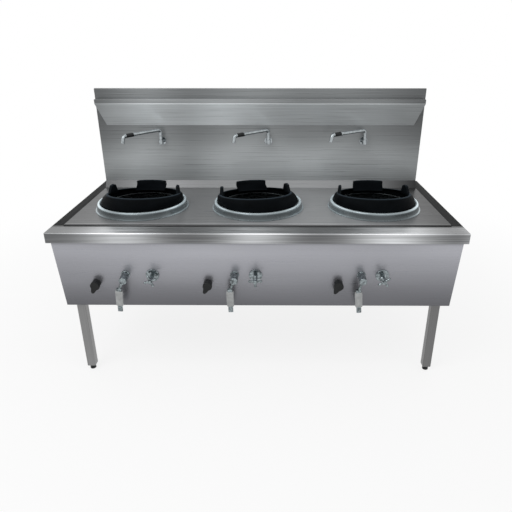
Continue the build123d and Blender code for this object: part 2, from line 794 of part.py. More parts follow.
def with_inlet(body, x, z, bore, bore_length):
    """The pipe with a socket at the back, bored for the supply pipe."""
    with BuildPart() as piped:
        add(body)
        with BuildSketch(Plane(origin=(x, socket_start, z), x_dir=(-1, 0, 0), z_dir=(0, 1, 0))):
            Circle(bore + socket_wall)
        extrude(amount=socket_length)
        with BuildSketch(Plane(origin=(x, inlet_end, z), x_dir=(-1, 0, 0), z_dir=(0, 1, 0))):
            Circle(bore)
        extrude(amount=-bore_length, mode=Mode.SUBTRACT)
    return piped.part


gas_route = [(min(knob_x) - gas_pipe_end, gas_axis_y, gas_z), (pipe_side_x, gas_axis_y, gas_z),
             (pipe_side_x, inlet_end - socket_wall, gas_z)]
gas_manifold = with_inlet(pipe(gas_route, gas_pipe_radius, pipe_bend),
                          pipe_side_x, gas_z, gas_inlet_bore, gas_inlet_depth)
save(gas_manifold, "gas_manifold")


def valve(x, drop, axis_y, radius, top, foot):
    """Upright valve body with a neck towards the panel and a blind bore for the spindle."""
    reach = (axis_y - over_panel(x, drop).origin.Y) / cos(lean)
    with BuildPart() as body:
        with BuildSketch(Plane.XY.offset(foot)):
            with Locations((x, axis_y)):
                Circle(radius)
        extrude(amount=top - foot)
        with BuildSketch(over_panel(x, drop, -reach)):
            Circle(stem_radius + neck_wall)
        extrude(amount=reach - neck_gap)
        with BuildSketch(over_panel(x, drop, -neck_gap)):
            Circle(stem_radius + stem_fit)
        extrude(amount=-bore_depth, mode=Mode.SUBTRACT)
    return body.part


gas_pipe_foot = gas_z - gas_pipe_radius
feed_z = pan_top + feed_rise
tube_z = pan_top + pilot_tube_rise
lever_valve_foot = feed_z + lever_valve_rise
pilot_valve_foot = tube_z + pilot_valve_rise
with BuildPart() as lever_valves:
    for x in lever_x:
        add(valve(x, lever_drop, gas_axis_y, valve_radius, gas_pipe_foot, lever_valve_foot))
save(lever_valves.part, "lever_valves")

with BuildPart() as pilot_valves:
    for x in knob_x:
        add(valve(x, knob_drop, gas_axis_y, pilot_valve_radius, gas_pipe_foot, pilot_valve_foot))
save(pilot_valves.part, "pilot_valves")

with BuildPart() as burner_feeds:
    for x, valve_x in zip(burner_x, lever_x):
        add(pipe([(x, burner_axis_y, deck_top + burner_foot), (x, burner_axis_y, feed_z),
                  (valve_x, gas_axis_y, feed_z), (valve_x, gas_axis_y, lever_valve_foot)],
                 feed_radius, feed_bend))
save(burner_feeds.part, "burner_feeds")

with BuildPart() as pilot_tubes:
    for x, valve_x in zip(burner_x, knob_x):
        tube_x = x - pilot_circle_radius
        tube_top = deck_top + chamber_floor + chamber_wall + pilot_tube_top
        add(pipe([(valve_x, gas_axis_y, pilot_valve_foot), (valve_x, gas_axis_y, tube_z),
                  (tube_x, burner_axis_y, tube_z), (tube_x, burner_axis_y, tube_top)],
                 pilot_tube_radius, pilot_tube_bend))
save(pilot_tubes.part, "pilot_tubes")

# ---------------------------------------------------------------- water
water_axis_y = y0 + water_pipe_y
water_route = [(-pipe_side_x, inlet_end - socket_wall, water_z), (-pipe_side_x, water_axis_y, water_z),
               (max(tap_x) + water_pipe_end, water_axis_y, water_z)]
water_header = with_inlet(pipe(water_route, water_pipe_radius, pipe_bend),
                          -pipe_side_x, water_z, water_inlet_bore, water_inlet_depth)
save(water_header, "water_header")

riser_z = pan_top + riser_rise
tap_valve_foot = riser_z + tap_valve_rise
with BuildPart() as tap_valves:
    for x in tap_x:
        add(valve(x, tap_drop, water_axis_y, tap_valve_radius, water_z - water_pipe_radius,
                  tap_valve_foot))
save(tap_valves.part, "tap_valves")

with BuildPart() as water_risers:
    for x, wall_x in zip(tap_x, spout_x):
        add(pipe([(x, water_axis_y, tap_valve_foot), (x, water_axis_y, riser_z),
                  (wall_x, riser_axis_y, riser_z), (wall_x, riser_axis_y, elbow_z),
                  (wall_x, splash_y, elbow_z)], riser_radius, riser_bend))
save(water_risers.part, "water_risers")

# ---------------------------------------------------------------- spouts
arm_z = rim_top + spout_height
swivel_top = rim_top + spout_foot


def elbow(x):
    """Wall flange, stub and upright socket in which a spout turns."""
    with BuildPart() as fitting:
        with BuildSketch(Plane(origin=(x, splash_y, elbow_z), x_dir=(1, 0, 0), z_dir=(0, -1, 0))):
            Circle(wall_flange_radius)
        extrude(amount=wall_flange_thickness)
        with BuildSketch(Plane(origin=(x, splash_y, elbow_z), x_dir=(1, 0, 0), z_dir=(0, -1, 0))):
            Circle(spout_stub_radius)
        extrude(amount=spout_stand)
        with BuildSketch(Plane.XY.offset(swivel_top - swivel_height)):
            with Locations((x, spout_axis_y)):
                Circle(swivel_radius)
        extrude(amount=swivel_height)
        with BuildSketch(Plane.XY.offset(swivel_top)):
            with Locations((x, spout_axis_y)):
                Circle(swivel_pin_radius + stem_fit)
        extrude(amount=-swivel_pin_length - stem_end_gap, mode=Mode.SUBTRACT)
    return fitting.part


def spout(x, turn):
    """Swivel pin, riser, arm and turned-down outlet of one spout."""
    out = Vector(-cos(radians(turn)), -sin(radians(turn)), 0)
    foot = Vector(x, spout_axis_y, swivel_top + seam)
    heel = Vector(x, spout_axis_y, arm_z)
    tip = heel + out * spout_length + Vector(0, 0, -spout_fall)
    end = tip + out * outlet_lean + Vector(0, 0, -outlet_drop)
    with BuildPart() as tube:
        add(pipe([foot, heel, tip, end], spout_radius, spout_bend))
        with BuildSketch(Plane.XY.offset(swivel_top + seam)):
            with Locations((x, spout_axis_y)):
                Circle(swivel_pin_radius)
        extrude(amount=-swivel_pin_length - seam)
        with BuildSketch(Plane(origin=end, z_dir=tip - end)):
            Circle(outlet_bore)
        extrude(amount=outlet_bore_depth, mode=Mode.SUBTRACT)
    return tube.part


def spout_grip(x, turn):
    """Plastic sleeve pressed over the outer end of the arm."""
    out = Vector(-cos(radians(turn)), -sin(radians(turn)), 0)
    heel = Vector(x, spout_axis_y, arm_z)
    along = (out * spout_length + Vector(0, 0, -spout_fall)).normalized()
    with BuildPart() as sleeve:
        with BuildSketch(Plane(origin=heel + along * ring_grip_from, z_dir=along)):
            Circle(spout_radius + ring_grip_wall)
            Circle(spout_radius + grip_fit, mode=Mode.SUBTRACT)
        extrude(amount=ring_grip_length)
    return sleeve.part


for side_name, x, turn in zip(sides, spout_x, spout_turns):
    save(spout(x, turn), f"{side_name}_spout")
    save(spout_grip(x, turn), f"{side_name}_spout_grip")

with BuildPart() as spout_elbows:
    for x in spout_x:
        add(elbow(x))
save(spout_elbows.part, "spout_elbows")

# ---------------------------------------------------------------- controls on the panel
def panel_side_faces(handle):
    """Faces of a piece from the panel outwards."""
    return handle.faces().sort_by(Axis((0, 0, 0), panel_out))


def control_flange(x, drop, radius):
    """Round flange on the panel behind a handle."""
    with BuildPart() as flange:
        with BuildSketch(over_panel(x, drop)):
            Circle(radius)
        extrude(amount=flange_thickness)
        fillet(panel_side_faces(flange)[-1].edges(), min(flange_round, most_rounding * flange_thickness))
        with BuildSketch(over_panel(x, drop)):
            Circle(stem_radius + flange_gap)
        extrude(amount=flange_thickness, mode=Mode.SUBTRACT)
    return flange.part


with BuildPart() as control_flanges:
    for x in lever_x:
        add(control_flange(x, lever_drop, lever_flange_radius))
    for x in tap_x:
        add(control_flange(x, tap_drop, tap_flange_radius))
save(control_flanges.part, "control_flanges")

stem_depth = neck_gap + bore_depth - stem_end_gap
hub_foot = flange_thickness + seam


def knob(x):
    """Pilot knob: a round body with a pointer, on its spindle."""
    with BuildPart() as handle:
        with BuildSketch(over_panel(x, knob_drop, knob_gap)):
            Circle(knob_radius)
        with BuildSketch(over_panel(x, knob_drop, knob_gap + knob_height)):
            Circle(knob_waist_radius)
        loft()
        fillet(panel_side_faces(handle)[-1].edges(), knob_edge)
        with BuildSketch(over_panel(x, knob_drop, knob_gap)):
            with BuildLine(Rotation(0, 0, knob_turn)):
                Polyline((-knob_waist_radius, 0), (-pointer_tip_width / 2, -knob_reach),
                         (pointer_tip_width / 2, -knob_reach), (knob_waist_radius, 0), close=True)
            make_face()
        extrude(amount=pointer_height)
        add(disc(over_panel(x, knob_drop, -stem_depth), stem_radius, stem_depth + 2 * knob_gap))
    return handle.part


def gas_lever(x, turn):
    """Gas lever: spindle, round boss, cranked arm and flat bar."""
    plane = turned_about(over_panel(x, lever_drop, lever_arm_offset), turn)
    bend_point = plane.origin + plane.x_dir * lever_shift - plane.y_dir * lever_crank
    with BuildPart() as handle:
        with BuildSketch(over_panel(x, lever_drop, hub_foot)):
            Circle(lever_boss_radius)
        extrude(amount=lever_boss_top - hub_foot)
        fillet(panel_side_faces(handle)[-1].edges(), lever_boss_edge)
        add(disc(over_panel(x, lever_drop, -stem_depth), stem_radius, stem_depth + 2 * hub_foot))
        add(disc(Plane(origin=plane.origin, z_dir=bend_point - plane.origin), lever_arm_radius,
                 (bend_point - plane.origin).length))
        with BuildSketch(Plane(origin=bend_point + plane.y_dir * lever_arm_radius,
                               x_dir=plane.x_dir, z_dir=-plane.y_dir)):
            RectangleRounded(bar_width, bar_thickness, bar_corner)
        extrude(amount=lever_length - lever_crank + lever_arm_radius)
    return handle.part


def lever_sleeve(x, turn):
    """Grip sleeve over the lever's flat bar."""
    plane = turned_about(over_panel(x, lever_drop, lever_arm_offset), turn)
    start = plane.origin + plane.x_dir * lever_shift - plane.y_dir * grip_from
    with BuildPart() as sleeve:
        with BuildSketch(Plane(origin=start, x_dir=plane.x_dir, z_dir=-plane.y_dir)):
            RectangleRounded(grip_width, grip_thickness, grip_round)
            RectangleRounded(bar_width + 2 * grip_fit, bar_thickness + 2 * grip_fit,
                             bar_corner + grip_fit, mode=Mode.SUBTRACT)
        extrude(amount=grip_length)
    return sleeve.part


def tap_handle(x, turn):
    """Cross handle of a tap: spindle, hub and four arms with ball ends."""
    plane = turned_about(over_panel(x, tap_drop, tap_arm_offset), turn)
    with BuildPart() as handle:
        with BuildSketch(over_panel(x, tap_drop, hub_foot)):
            Circle(tap_hub_radius)
        extrude(amount=tap_top - hub_foot)
        fillet(panel_side_faces(handle)[-1].edges(), tap_hub_round)
        add(disc(over_panel(x, tap_drop, -stem_depth), stem_radius, stem_depth + 2 * hub_foot))
        for direction in (plane.x_dir, plane.y_dir):
            start = plane.origin - direction * tap_arm_reach
            add(disc(Plane(origin=start, z_dir=direction), tap_arm_radius, 2 * tap_arm_reach))
            for end in (-1, 1):
                with Locations(plane.origin + direction * end * tap_arm_reach):
                    Sphere(tap_arm_ball)
    return handle.part


for place, side_name in enumerate(sides):
    save(knob(knob_x[place]), f"{side_name}_pilot_knob")
    save(gas_lever(lever_x[place], lever_turns[place]), f"{side_name}_gas_lever")
    save(lever_sleeve(lever_x[place], lever_turns[place]), f"{side_name}_lever_sleeve")
    save(tap_handle(tap_x[place], tap_turns[place]), f"{side_name}_tap_handle")
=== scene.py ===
# %% [markdown]
# # Dressing a three-hole wok range
#
# The range is a steel table with three cast wok rings, a splashback with a pipe shelf, three
# swivel spouts and a row of controls on a leaning panel. Its shapes and joints come from the
# construction model, so this lesson is about what a photograph adds to them: the camera, the
# light, and the finish of each sheet, casting, pipe and handle. Where a real piece is softer
# than the construction model can hold, a new surface is worked out with numpy and stands in
# for it. All lengths are in metres, with x along the range, y to the back and z up.

import bpy
import numpy as np
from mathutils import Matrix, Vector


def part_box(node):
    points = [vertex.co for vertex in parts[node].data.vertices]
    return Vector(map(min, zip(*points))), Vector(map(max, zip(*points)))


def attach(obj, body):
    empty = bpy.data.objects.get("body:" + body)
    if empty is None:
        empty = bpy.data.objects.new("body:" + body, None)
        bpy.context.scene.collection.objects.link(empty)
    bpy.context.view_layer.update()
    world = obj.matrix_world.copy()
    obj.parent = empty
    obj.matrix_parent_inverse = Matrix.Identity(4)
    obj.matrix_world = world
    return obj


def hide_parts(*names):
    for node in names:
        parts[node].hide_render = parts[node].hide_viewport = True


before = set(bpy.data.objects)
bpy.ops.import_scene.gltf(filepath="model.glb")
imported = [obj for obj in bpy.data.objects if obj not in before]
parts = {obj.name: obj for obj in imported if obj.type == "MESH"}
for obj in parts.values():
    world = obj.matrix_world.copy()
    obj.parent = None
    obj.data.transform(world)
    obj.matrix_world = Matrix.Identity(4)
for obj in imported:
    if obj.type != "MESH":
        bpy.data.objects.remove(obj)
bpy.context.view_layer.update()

# %% [markdown]
# ## The camera
#
# A camera is told by where it stands, where it looks and how long its lens is. It could be
# turned by eye until the picture fits, but then errors of place and lens hide each other. So
# the rim corners, the foot of the splashback, the collars and the feet were measured in the
# photograph, and a least-squares fit gave the numbers below: it stands a little to the right
# of the middle, one and a half metres up, and looks down by 24 degrees. The picture is 512
# pixels square, so a focal length in pixels becomes a lens length by the sensor's width.

# %% Place the camera
picture_width = 512
focal_pixels = 490.4
shift_pixels = -14
camera_place = (0.0683, -2.3353, 1.5012)
camera_tilt, camera_turn = 66.27, 0.36
camera_data = bpy.data.cameras.new("camera")
camera_data.sensor_width = 36
camera_data.lens = focal_pixels / picture_width * camera_data.sensor_width
camera_data.shift_x = shift_pixels / picture_width
camera = bpy.data.objects.new("camera", camera_data)
camera.location = camera_place
camera.rotation_euler = (np.radians(camera_tilt), 0, np.radians(camera_turn))
bpy.context.scene.collection.objects.link(camera)
bpy.context.scene.camera = camera
bpy.context.scene.view_settings.view_transform = "Standard"
print("lens", round(camera_data.lens, 2), "mm, at", camera_place)

# %% [markdown]
# ## A helper for shader nodes
#
# Every finish here is a small network of shader nodes. They could be drawn by hand in the
# shader editor, but a script can repeat them for each finish with other numbers. Writing each
# node in full takes four or five lines, so one helper adds a node, sets its options, and fills
# or links its inputs.

# %% Add one shader node
def add_node(tree, kind, inputs=(), **options):
    """Adds a node of that kind to a tree. An input gets a value, or a link where it is given an output."""
    made = tree.nodes.new("ShaderNode" + kind)
    for name, value in options.items():
        setattr(made, name, value)
    for name, value in dict(inputs).items():
        if isinstance(value, bpy.types.NodeSocket):
            tree.links.new(value, made.inputs[name])
        else:
            made.inputs[name].default_value = value
    return made


# %% [markdown]
# ## World and floor
#
# The photograph is a cut-out on white. Stronger lamps could turn a pale room white, but they
# would bleach the steel as well. So the world has two levels: white where the camera or a
# reflection sees it, because steel shows what stands around it, and a dimmer one for the light
# that falls on the object. The floor does the same: it is mostly white where it is seen, with
# enough of its own pale surface left to keep the shadow. Far from the object it turns fully
# white, so that no horizon shows.

# %% Make the white world
def seen_directly(tree):
    """1 for a ray from the camera, from a reflection or through glass, otherwise 0."""
    path = add_node(tree, "LightPath")
    seen = add_node(tree, "Math", {0: path.outputs["Is Camera Ray"], 1: path.outputs["Is Glossy Ray"]},
                    operation="MAXIMUM")
    return add_node(tree, "Math", {0: seen.outputs[0], 1: path.outputs["Is Transmission Ray"]},
                    operation="MAXIMUM").outputs[0]


light_level, seen_level = 0.72, 1.0
world = bpy.data.worlds.new("studio")
world.use_nodes = True
tree = world.node_tree
level = add_node(tree, "MapRange", {"Value": seen_directly(tree), "To Min": light_level,
                                    "To Max": seen_level})
tree.links.new(level.outputs[0], tree.nodes["Background"].inputs["Strength"])
tree.nodes["Background"].inputs["Color"].default_value = (1, 1, 1, 1)
bpy.context.scene.world = world
print("world", light_level, "as light and", seen_level, "where it is seen")

# %% Lay the floor
floor_half, floor_tone = 30.0, 0.86
white_near, white_far = 0.82, 1.0
near, far = 1.2, 3.2
mesh = bpy.data.meshes.new("floor")
corners = np.array([(-1, -1, 0), (1, -1, 0), (1, 1, 0), (-1, 1, 0)], float) * floor_half
mesh.from_pydata(corners.tolist(), [], [(0, 1, 2, 3)])
floor = bpy.data.objects.new("floor", mesh)
bpy.context.scene.collection.objects.link(floor)
paint = bpy.data.materials.new("floor_paint")
paint.use_nodes = True
tree = paint.node_tree
pale = tree.nodes["Principled BSDF"]
pale.inputs["Base Color"].default_value = (floor_tone,) * 3 + (1,)
pale.inputs["Roughness"].default_value = 0.9
pale.inputs["Specular IOR Level"].default_value = 0.1
white = add_node(tree, "Emission", {"Color": (1, 1, 1, 1), "Strength": 1.0})
reach = add_node(tree, "VectorMath", {0: add_node(tree, "TexCoord").outputs["Object"]}, operation="LENGTH")
fade = add_node(tree, "MapRange", {"Value": reach.outputs["Value"], "From Min": near, "From Max": far,
                                   "To Min": white_near, "To Max": white_far},
                interpolation_type="SMOOTHSTEP")
share = add_node(tree, "Math", {0: seen_directly(tree), 1: fade.outputs[0]}, operation="MULTIPLY")
mixed = add_node(tree, "MixShader", {0: share.outputs[0], 1: pale.outputs[0], 2: white.outputs[0]})
tree.links.new(mixed.outputs[0], tree.nodes["Material Output"].inputs["Surface"])
mesh.materials.append(paint)
print("floor", 2 * floor_half, "m across, fully white from", far, "m")

# %% [markdown]
# ## Lamps
#
# Two broad lamps stand for softboxes. Small ones would be simpler, but they draw hard shadows
# and bright dots on steel, and a broad lamp spreads both out. The key hangs high at the front
# left, so that shadows fall a little to the right and down, as they do beside the left leg. A
# long strip above the front edge gives the folded rim its bright line.

# %% Hang the lamps
def hang_lamp(name, place, aim, width, height, power):
    """A flat rectangular lamp at a place, facing a point, of a size in metres and a power in watts."""
    data = bpy.data.lights.new(name, "AREA")
    data.shape = "RECTANGLE"
    data.size = width
    data.size_y = height
    data.energy = power
    lamp = bpy.data.objects.new(name, data)
    bpy.context.scene.collection.objects.link(lamp)
    lamp.location = place
    toward = Vector(aim) - Vector(place)
    lamp.rotation_euler = toward.to_track_quat("-Z", "Y").to_euler()
    return lamp


hang_lamp("key", (-1.9, -2.2, 3.2), (0, 0, 0.7), 2.2, 1.6, 32)
hang_lamp("rim_strip", (0.0, -1.2, 3.4), (0, -0.2, 0.8), 3.2, 0.5, 12)

# %% [markdown]
# ## Brushed steel
#
# Sheet steel gets its grain from a belt that runs one way. Under a lens that is thousands of
# fine scratches, and at this distance it is streaks: long along the grain and narrow across
# it. A picture of them could be laid on the sheets, but it would need an unfolded map for
# every part and would repeat. Noise that is stretched along one axis draws the streaks without
# an end, for the colour, the gloss and a very shallow bump. A second, broad noise lets the tone
# drift, because no sheet is quite even. Everything reads object coordinates, so the grain
# stays on the sheet from any side.

# %% Stretch noise along a grain
def stretched(tree, lengths, detail=4.0, distortion=0.0):
    """Noise whose blotches have the given length in metres along x, y and z."""
    place = add_node(tree, "TexCoord").outputs["Object"]
    scaled = add_node(tree, "Mapping", {"Vector": place, "Scale": [1 / size for size in lengths]})
    return add_node(tree, "TexNoise", {"Vector": scaled.outputs[0], "Scale": 1.0, "Detail": detail,
                                       "Distortion": distortion}).outputs[0]


def spread(tree, value, low, high, source=(0.3, 0.7)):
    """Noise stays mostly between 0.3 and 0.7, so that range is drawn out to low and high."""
    return add_node(tree, "MapRange", {"Value": value, "From Min": source[0], "From Max": source[1],
                                       "To Min": low, "To Max": high}).outputs[0]


# %% Set up a finish
def new_finish(name, metallic=1.0, roughness=0.4, **inputs):
    """A material with its shader ready; further inputs are set on the shader by name."""
    made = bpy.data.materials.new(name)
    made.use_nodes = True
    shader = made.node_tree.nodes["Principled BSDF"]
    shader.inputs["Metallic"].default_value = metallic
    shader.inputs["Roughness"].default_value = roughness
    for key, value in inputs.items():
        shader.inputs[key.replace("_", " ")].default_value = value
    return made, made.node_tree, shader


def tinted(tone, tint):
    """A grey tone, warmed or cooled by three factors."""
    return tuple(tone * factor for factor in tint)


def times(tree, first, second):
    """The product of two outputs or numbers."""
    return add_node(tree, "Math", {0: first, 1: second}, operation="MULTIPLY").outputs[0]


# %% [markdown]
# ## Painted bands of light and shade on a sheet
#
# A folded sheet is never flat: it is a little curved between its welds, and each curve gathers or
# loses light. The mesh could be bent by tenths of a millimetre, but these sheets are
# construction parts whose shape stays, so that light and shade is painted into their tone. A
# colour ramp along one axis paints the soft bands. Its few stops are places in metres with a
# share of the tone, and the ramp runs smoothly through them. Where a painted highlight or
# shade stands alone, a bell curve says it in three numbers: its place, width and height.

# %% Draw soft bands along an axis
def coordinate(tree, axis):
    """One object coordinate in metres."""
    place = add_node(tree, "SeparateXYZ", {0: add_node(tree, "TexCoord").outputs["Object"]})
    return place.outputs["xyz".index(axis)]


def bands(tree, value, stops):
    """A share that passes through the given stops, pairs of a place and a share of at most 1."""
    first, last = stops[0][0], stops[-1][0]
    along = add_node(tree, "MapRange", {"Value": value, "From Min": first, "From Max": last})
    ramp = add_node(tree, "ValToRGB", {0: along.outputs[0]})
    ramp.color_ramp.interpolation = "CARDINAL"
    for place, share in stops[1:-1]:
        ramp.color_ramp.elements.new((place - first) / (last - first)).color = (share,) * 3 + (1,)
    ramp.color_ramp.elements[0].color = (stops[0][1],) * 3 + (1,)
    ramp.color_ramp.elements[-1].color = (stops[-1][1],) * 3 + (1,)
    return ramp.outputs[0]


def bell_light(tree, value, least, bells):
    """least plus, for every bell (place, width, height), height times e to the minus square of
    the distance from its place over its width."""
    total = least
    for place, width, height in bells:
        away = add_node(tree, "Math", {0: value, 1: -place}).outputs[0]
        away = times(tree, away, 1 / width)
        bell = add_node(tree, "Math", {0: times(tree, times(tree, away, away), -1.0)}, operation="EXPONENT")
        total = add_node(tree, "Math", {0: times(tree, bell.outputs[0], height), 1: total}).outputs[0]
    return total


# %% Brush a sheet
def brushed(name, tone, grain, contrast=0.14, drift=0.12, roughness=(0.26, 0.4), tint=(1, 1, 1),
            depth=0.00006, metallic=0.75, banding=(), painted_bells=(), dull=None, **inputs):
    """Steel whose brightest tone is given, with streaks along a grain.

    grain is "x", "y" or "z". The colour is the tone times one plus the streaks and the drift,
    times the bands, which are pairs of an axis and its stops, and times the painted bells,
    each an axis, the least share and its bells; bands and bells both paint light and shade.
    dull is two heights between which the mirror gives way to a plain surface, dark where the
    bands paint shade.
    """
    made, tree, shader = new_finish(name, metallic, **inputs)
    long, fine, broad = 0.32, 0.0035, 0.3
    streak = stretched(tree, [long if axis == grain else fine for axis in "xyz"], detail=3.0)
    cloud = stretched(tree, [broad * (3 if axis == grain else 1) for axis in "xyz"], detail=1.0)
    strength = times(tree, spread(tree, streak, 1 - contrast, 1 + contrast),
                     spread(tree, cloud, 1 - drift, 1 + drift))
    for axis, stops in banding:
        strength = times(tree, strength, bands(tree, coordinate(tree, axis), stops))
    for axis, least, bells in painted_bells:
        strength = times(tree, strength, bell_light(tree, coordinate(tree, axis), least, bells))
    if dull:
        mirror = add_node(tree, "MapRange", {"Value": coordinate(tree, "z"), "From Min": dull[0],
                                             "From Max": dull[1], "To Min": metallic, "To Max": 0.0})
        tree.links.new(mirror.outputs[0], shader.inputs["Metallic"])
    colour = add_node(tree, "VectorMath", {0: tinted(tone, tint), "Scale": strength}, operation="SCALE")
    tree.links.new(colour.outputs[0], shader.inputs["Base Color"])
    tree.links.new(spread(tree, streak, *roughness), shader.inputs["Roughness"])
    bump = add_node(tree, "Bump", {"Height": streak, "Strength": 0.6, "Distance": depth})
    tree.links.new(bump.outputs[0], shader.inputs["Normal"])
    return made


# %% [markdown]
# ## Rims and aprons
#
# The front rim and its apron are one folded strip, polished along the range, and the brightest
# sheet in the photograph. Three bells along x paint highlights in front of the burners, and two
# narrow ones paint shade in the gap behind it and a highlight along its front edge. The side
# rims have their grain from front to back and look nearly black from the front, as they mirror
# something dark, so above their fold the mirror gives way to a dull surface with that dark
# reflection painted into its tone. One steel for all sheets would be quicker, but neighbours
# would melt together, so each kind gets its own numbers for the same recipe.

# %% Coat the rims
def coat(finish, *names):
    """Puts a finish in every material slot of the named parts."""
    for name in names:
        for place in range(len(parts[name].data.materials)):
            parts[name].data.materials[place] = finish


cool = (0.95, 1.0, 1.02)
# painted bells of light and shade: an axis, the least share and its bells of a place, a width and a height
rim_painted_light = [("x", 0.24, [(-0.58, 0.15, 0.72), (-0.01, 0.14, 0.7), (0.57, 0.16, 0.85), (0.93, 0.05, 0.3)]),
            ("y", 1.0, [(-0.326, 0.008, -0.9)]), ("z", 1.0, [(0.7552, 0.0017, 1.6)])]
# the stops of a band are pairs of a place and a share
rim_height_light = [(0.712, 0.95), (0.75, 0.82), (0.756, 0.95), (0.758, 1.0)]
# the side rims are painted near black on top: a painted dark reflection
side_height_light = [(0.712, 0.6), (0.75, 0.6), (0.7555, 0.025), (0.758, 0.025)]
coat(brushed("bright_brushed_rim", 0.68, "x", contrast=0.28, tint=(0.98, 1, 1.02), painted_bells=rim_painted_light,
             banding=[("z", rim_height_light)]), "front_rim")
coat(brushed("side_brushed_rim", 0.5, "y", contrast=0.25, roughness=(0.4, 0.6), dull=(0.75, 0.7565),
             tint=cool, Specular_IOR_Level=0.04, banding=[("z", side_height_light)]),
     "left_rim", "right_rim")

# %% [markdown]
# ## Deck
#
# The deck lies between the rims and a few millimetres higher. Pans and water scour it, so it is
# duller than they are. Its front edge is folded down: the bend catches a line of light, and the
# gap before it lies in shade. Both could come from a finer mesh, but the plate is a construction
# part, so two bells along y paint them, a highlight and a shade, and a ramp along x paints the
# light that gathers right of the middle and the shade that leaves the right end dark.

# %% Coat the deck
deck_light = [(-0.85, 0.26), (-0.56, 0.62), (-0.28, 0.62), (0.0, 0.88), (0.28, 1.0), (0.6, 0.6),
              (0.85, 0.07)]
# painted shade in the gap and a painted highlight on the bend of the front edge
deck_edge_light_and_shade = [("y", 0.8, [(-0.319, 0.007, -0.5), (-0.303, 0.004, 0.9), (-0.25, 0.05, 0.06)])]
coat(brushed("deck_steel", 0.42, "x", contrast=0.05, tint=(0.98, 1, 1.02), metallic=0.3,
             Specular_IOR_Level=0.25, banding=[("x", deck_light)], painted_bells=deck_edge_light_and_shade), "deck_plate")

# %% [markdown]
# ## Splashback and shelf
#
# The splashback is one tall sheet, lightest low down and darker towards the shelf, which shades
# it. The shelf catches light on its sloping underside and along the bend at the foot of its
# lip. More lamps could place these lights, but each would also change the rings and the deck,
# so two ramps do it for each sheet: one along the range and one by the height.

# %% Coat the splashback and the shelf
wall_light = [(-0.85, 0.46), (-0.6, 0.9), (-0.36, 0.62), (-0.05, 1.0), (0.2, 0.84), (0.5, 0.84),
              (0.85, 0.44)]
wall_rise = [(0.798, 0.85), (0.9, 1.0), (1.0, 0.6), (1.09, 0.38), (1.228, 0.43), (1.277, 0.4)]
shelf_light = [(-0.85, 0.33), (-0.6, 0.88), (-0.36, 0.82), (-0.15, 1.0), (0.2, 0.66), (0.6, 0.67),
               (0.85, 0.33)]
shelf_rise = [(1.094, 0.84), (1.15, 0.8), (1.203, 0.8), (1.2065, 1.0), (1.21, 0.38), (1.215, 0.33),
              (1.228, 0.33)]
coat(brushed("splash_steel", 0.62, "x", contrast=0.1, metallic=0.4, tint=cool,
             banding=[("x", wall_light), ("z", wall_rise)]), "splash_panel", "splash_box")
coat(brushed("shelf_steel", 0.98, "x", contrast=0.1, metallic=0.25, tint=cool,
             banding=[("x", shelf_light), ("z", shelf_rise)]), "pipe_shelf")

# %% [markdown]
# ## Front panel, body and legs
#
# The front panel is smooth and leans back to its foot, and a ramp by height paints it light
# under the apron and darker below. The sides, the back, the pan and the rails are plain sheet,
# and the legs are square tube with the grain along them. A single grey would do for what is
# hardly seen, but the range is looked at from all sides, so these sheets get the same recipe
# with less of everything. The ramp along x paints shade on the right legs, so they are darker
# than the left ones.

# %% Coat the panel, the body and the legs
# painted light and shade: by height on the panel, and along x on the legs
panel_light = [(0.38, 0.36), (0.49, 0.58), (0.565, 0.76), (0.62, 0.88), (0.695, 1.0), (0.7117, 0.62)]
leg_light = [(-0.9, 1.0), (0.9, 0.58)]
legs = [name for name in parts if name.endswith("_leg")]
coat(brushed("panel_steel", 0.41, "x", contrast=0.03, tint=(0.97, 0.98, 1.06),
             banding=[("z", panel_light)]), "front_panel")
coat(brushed("body_steel", 0.27, "y", contrast=0.06), "left_side_panel", "right_side_panel",
     "base_pan")
coat(brushed("back_steel", 0.27, "x", contrast=0.06), "rear_panel", "rails")
coat(brushed("leg_steel", 0.28, "z", contrast=0.08, banding=[("x", leg_light)]), *legs)
print("brushed", [name for name in bpy.data.materials.keys() if name.endswith(("steel", "rim"))])

# %% [markdown]
# ## Cast iron
#
# The wok rings, the chambers and the burner heads are sand castings, blackened by fire. A
# casting is matt and slightly pitted. The pits could be carved into the mesh, but they are
# finer than a millimetre, so a bump from fine noise shows them as well. Along the rim and the
# edges of the lugs the iron is a touch lighter: it is rubbed there, and a highlight is painted
# there too. An attribute on the points of the new castings says where.

# %% Make the casting finish
def cast(name, tone, pits=0.0006, tint=(0.97, 1, 1.03), worn_and_lit=0.0, specular=0.08):
    """Black iron: fine grain and shallow pits in the bump, broad grey bloom in the colour.

    worn is the tone that is added where the surface's own attribute of that name is 1: it
    stands for scuffed iron and a painted highlight.
    """
    made, tree, shader = new_finish(name, metallic=0.0, roughness=0.6, Specular_IOR_Level=specular)
    grain = stretched(tree, (0.004, 0.004, 0.004), detail=6.0)
    bloom = stretched(tree, (0.09, 0.09, 0.05), detail=3.0)
    level = times(tree, tone, spread(tree, bloom, 0.6, 1.7))
    # the added tone stands for scuffed iron and a painted highlight
    if worn_and_lit:
        rubbed_and_lit = add_node(tree, "Attribute", attribute_name="worn_and_lit").outputs["Fac"]
        level = add_node(tree, "Math", {0: times(tree, rubbed_and_lit, worn_and_lit), 1: level}).outputs[0]
    shade = add_node(tree, "VectorMath", {0: tint, "Scale": level}, operation="SCALE")
    tree.links.new(shade.outputs[0], shader.inputs["Base Color"])
    tree.links.new(spread(tree, grain, 0.5, 0.75), shader.inputs["Roughness"])
    bump = add_node(tree, "Bump", {"Height": grain, "Strength": 0.7, "Distance": pits})
    tree.links.new(bump.outputs[0], shader.inputs["Normal"])
    return made


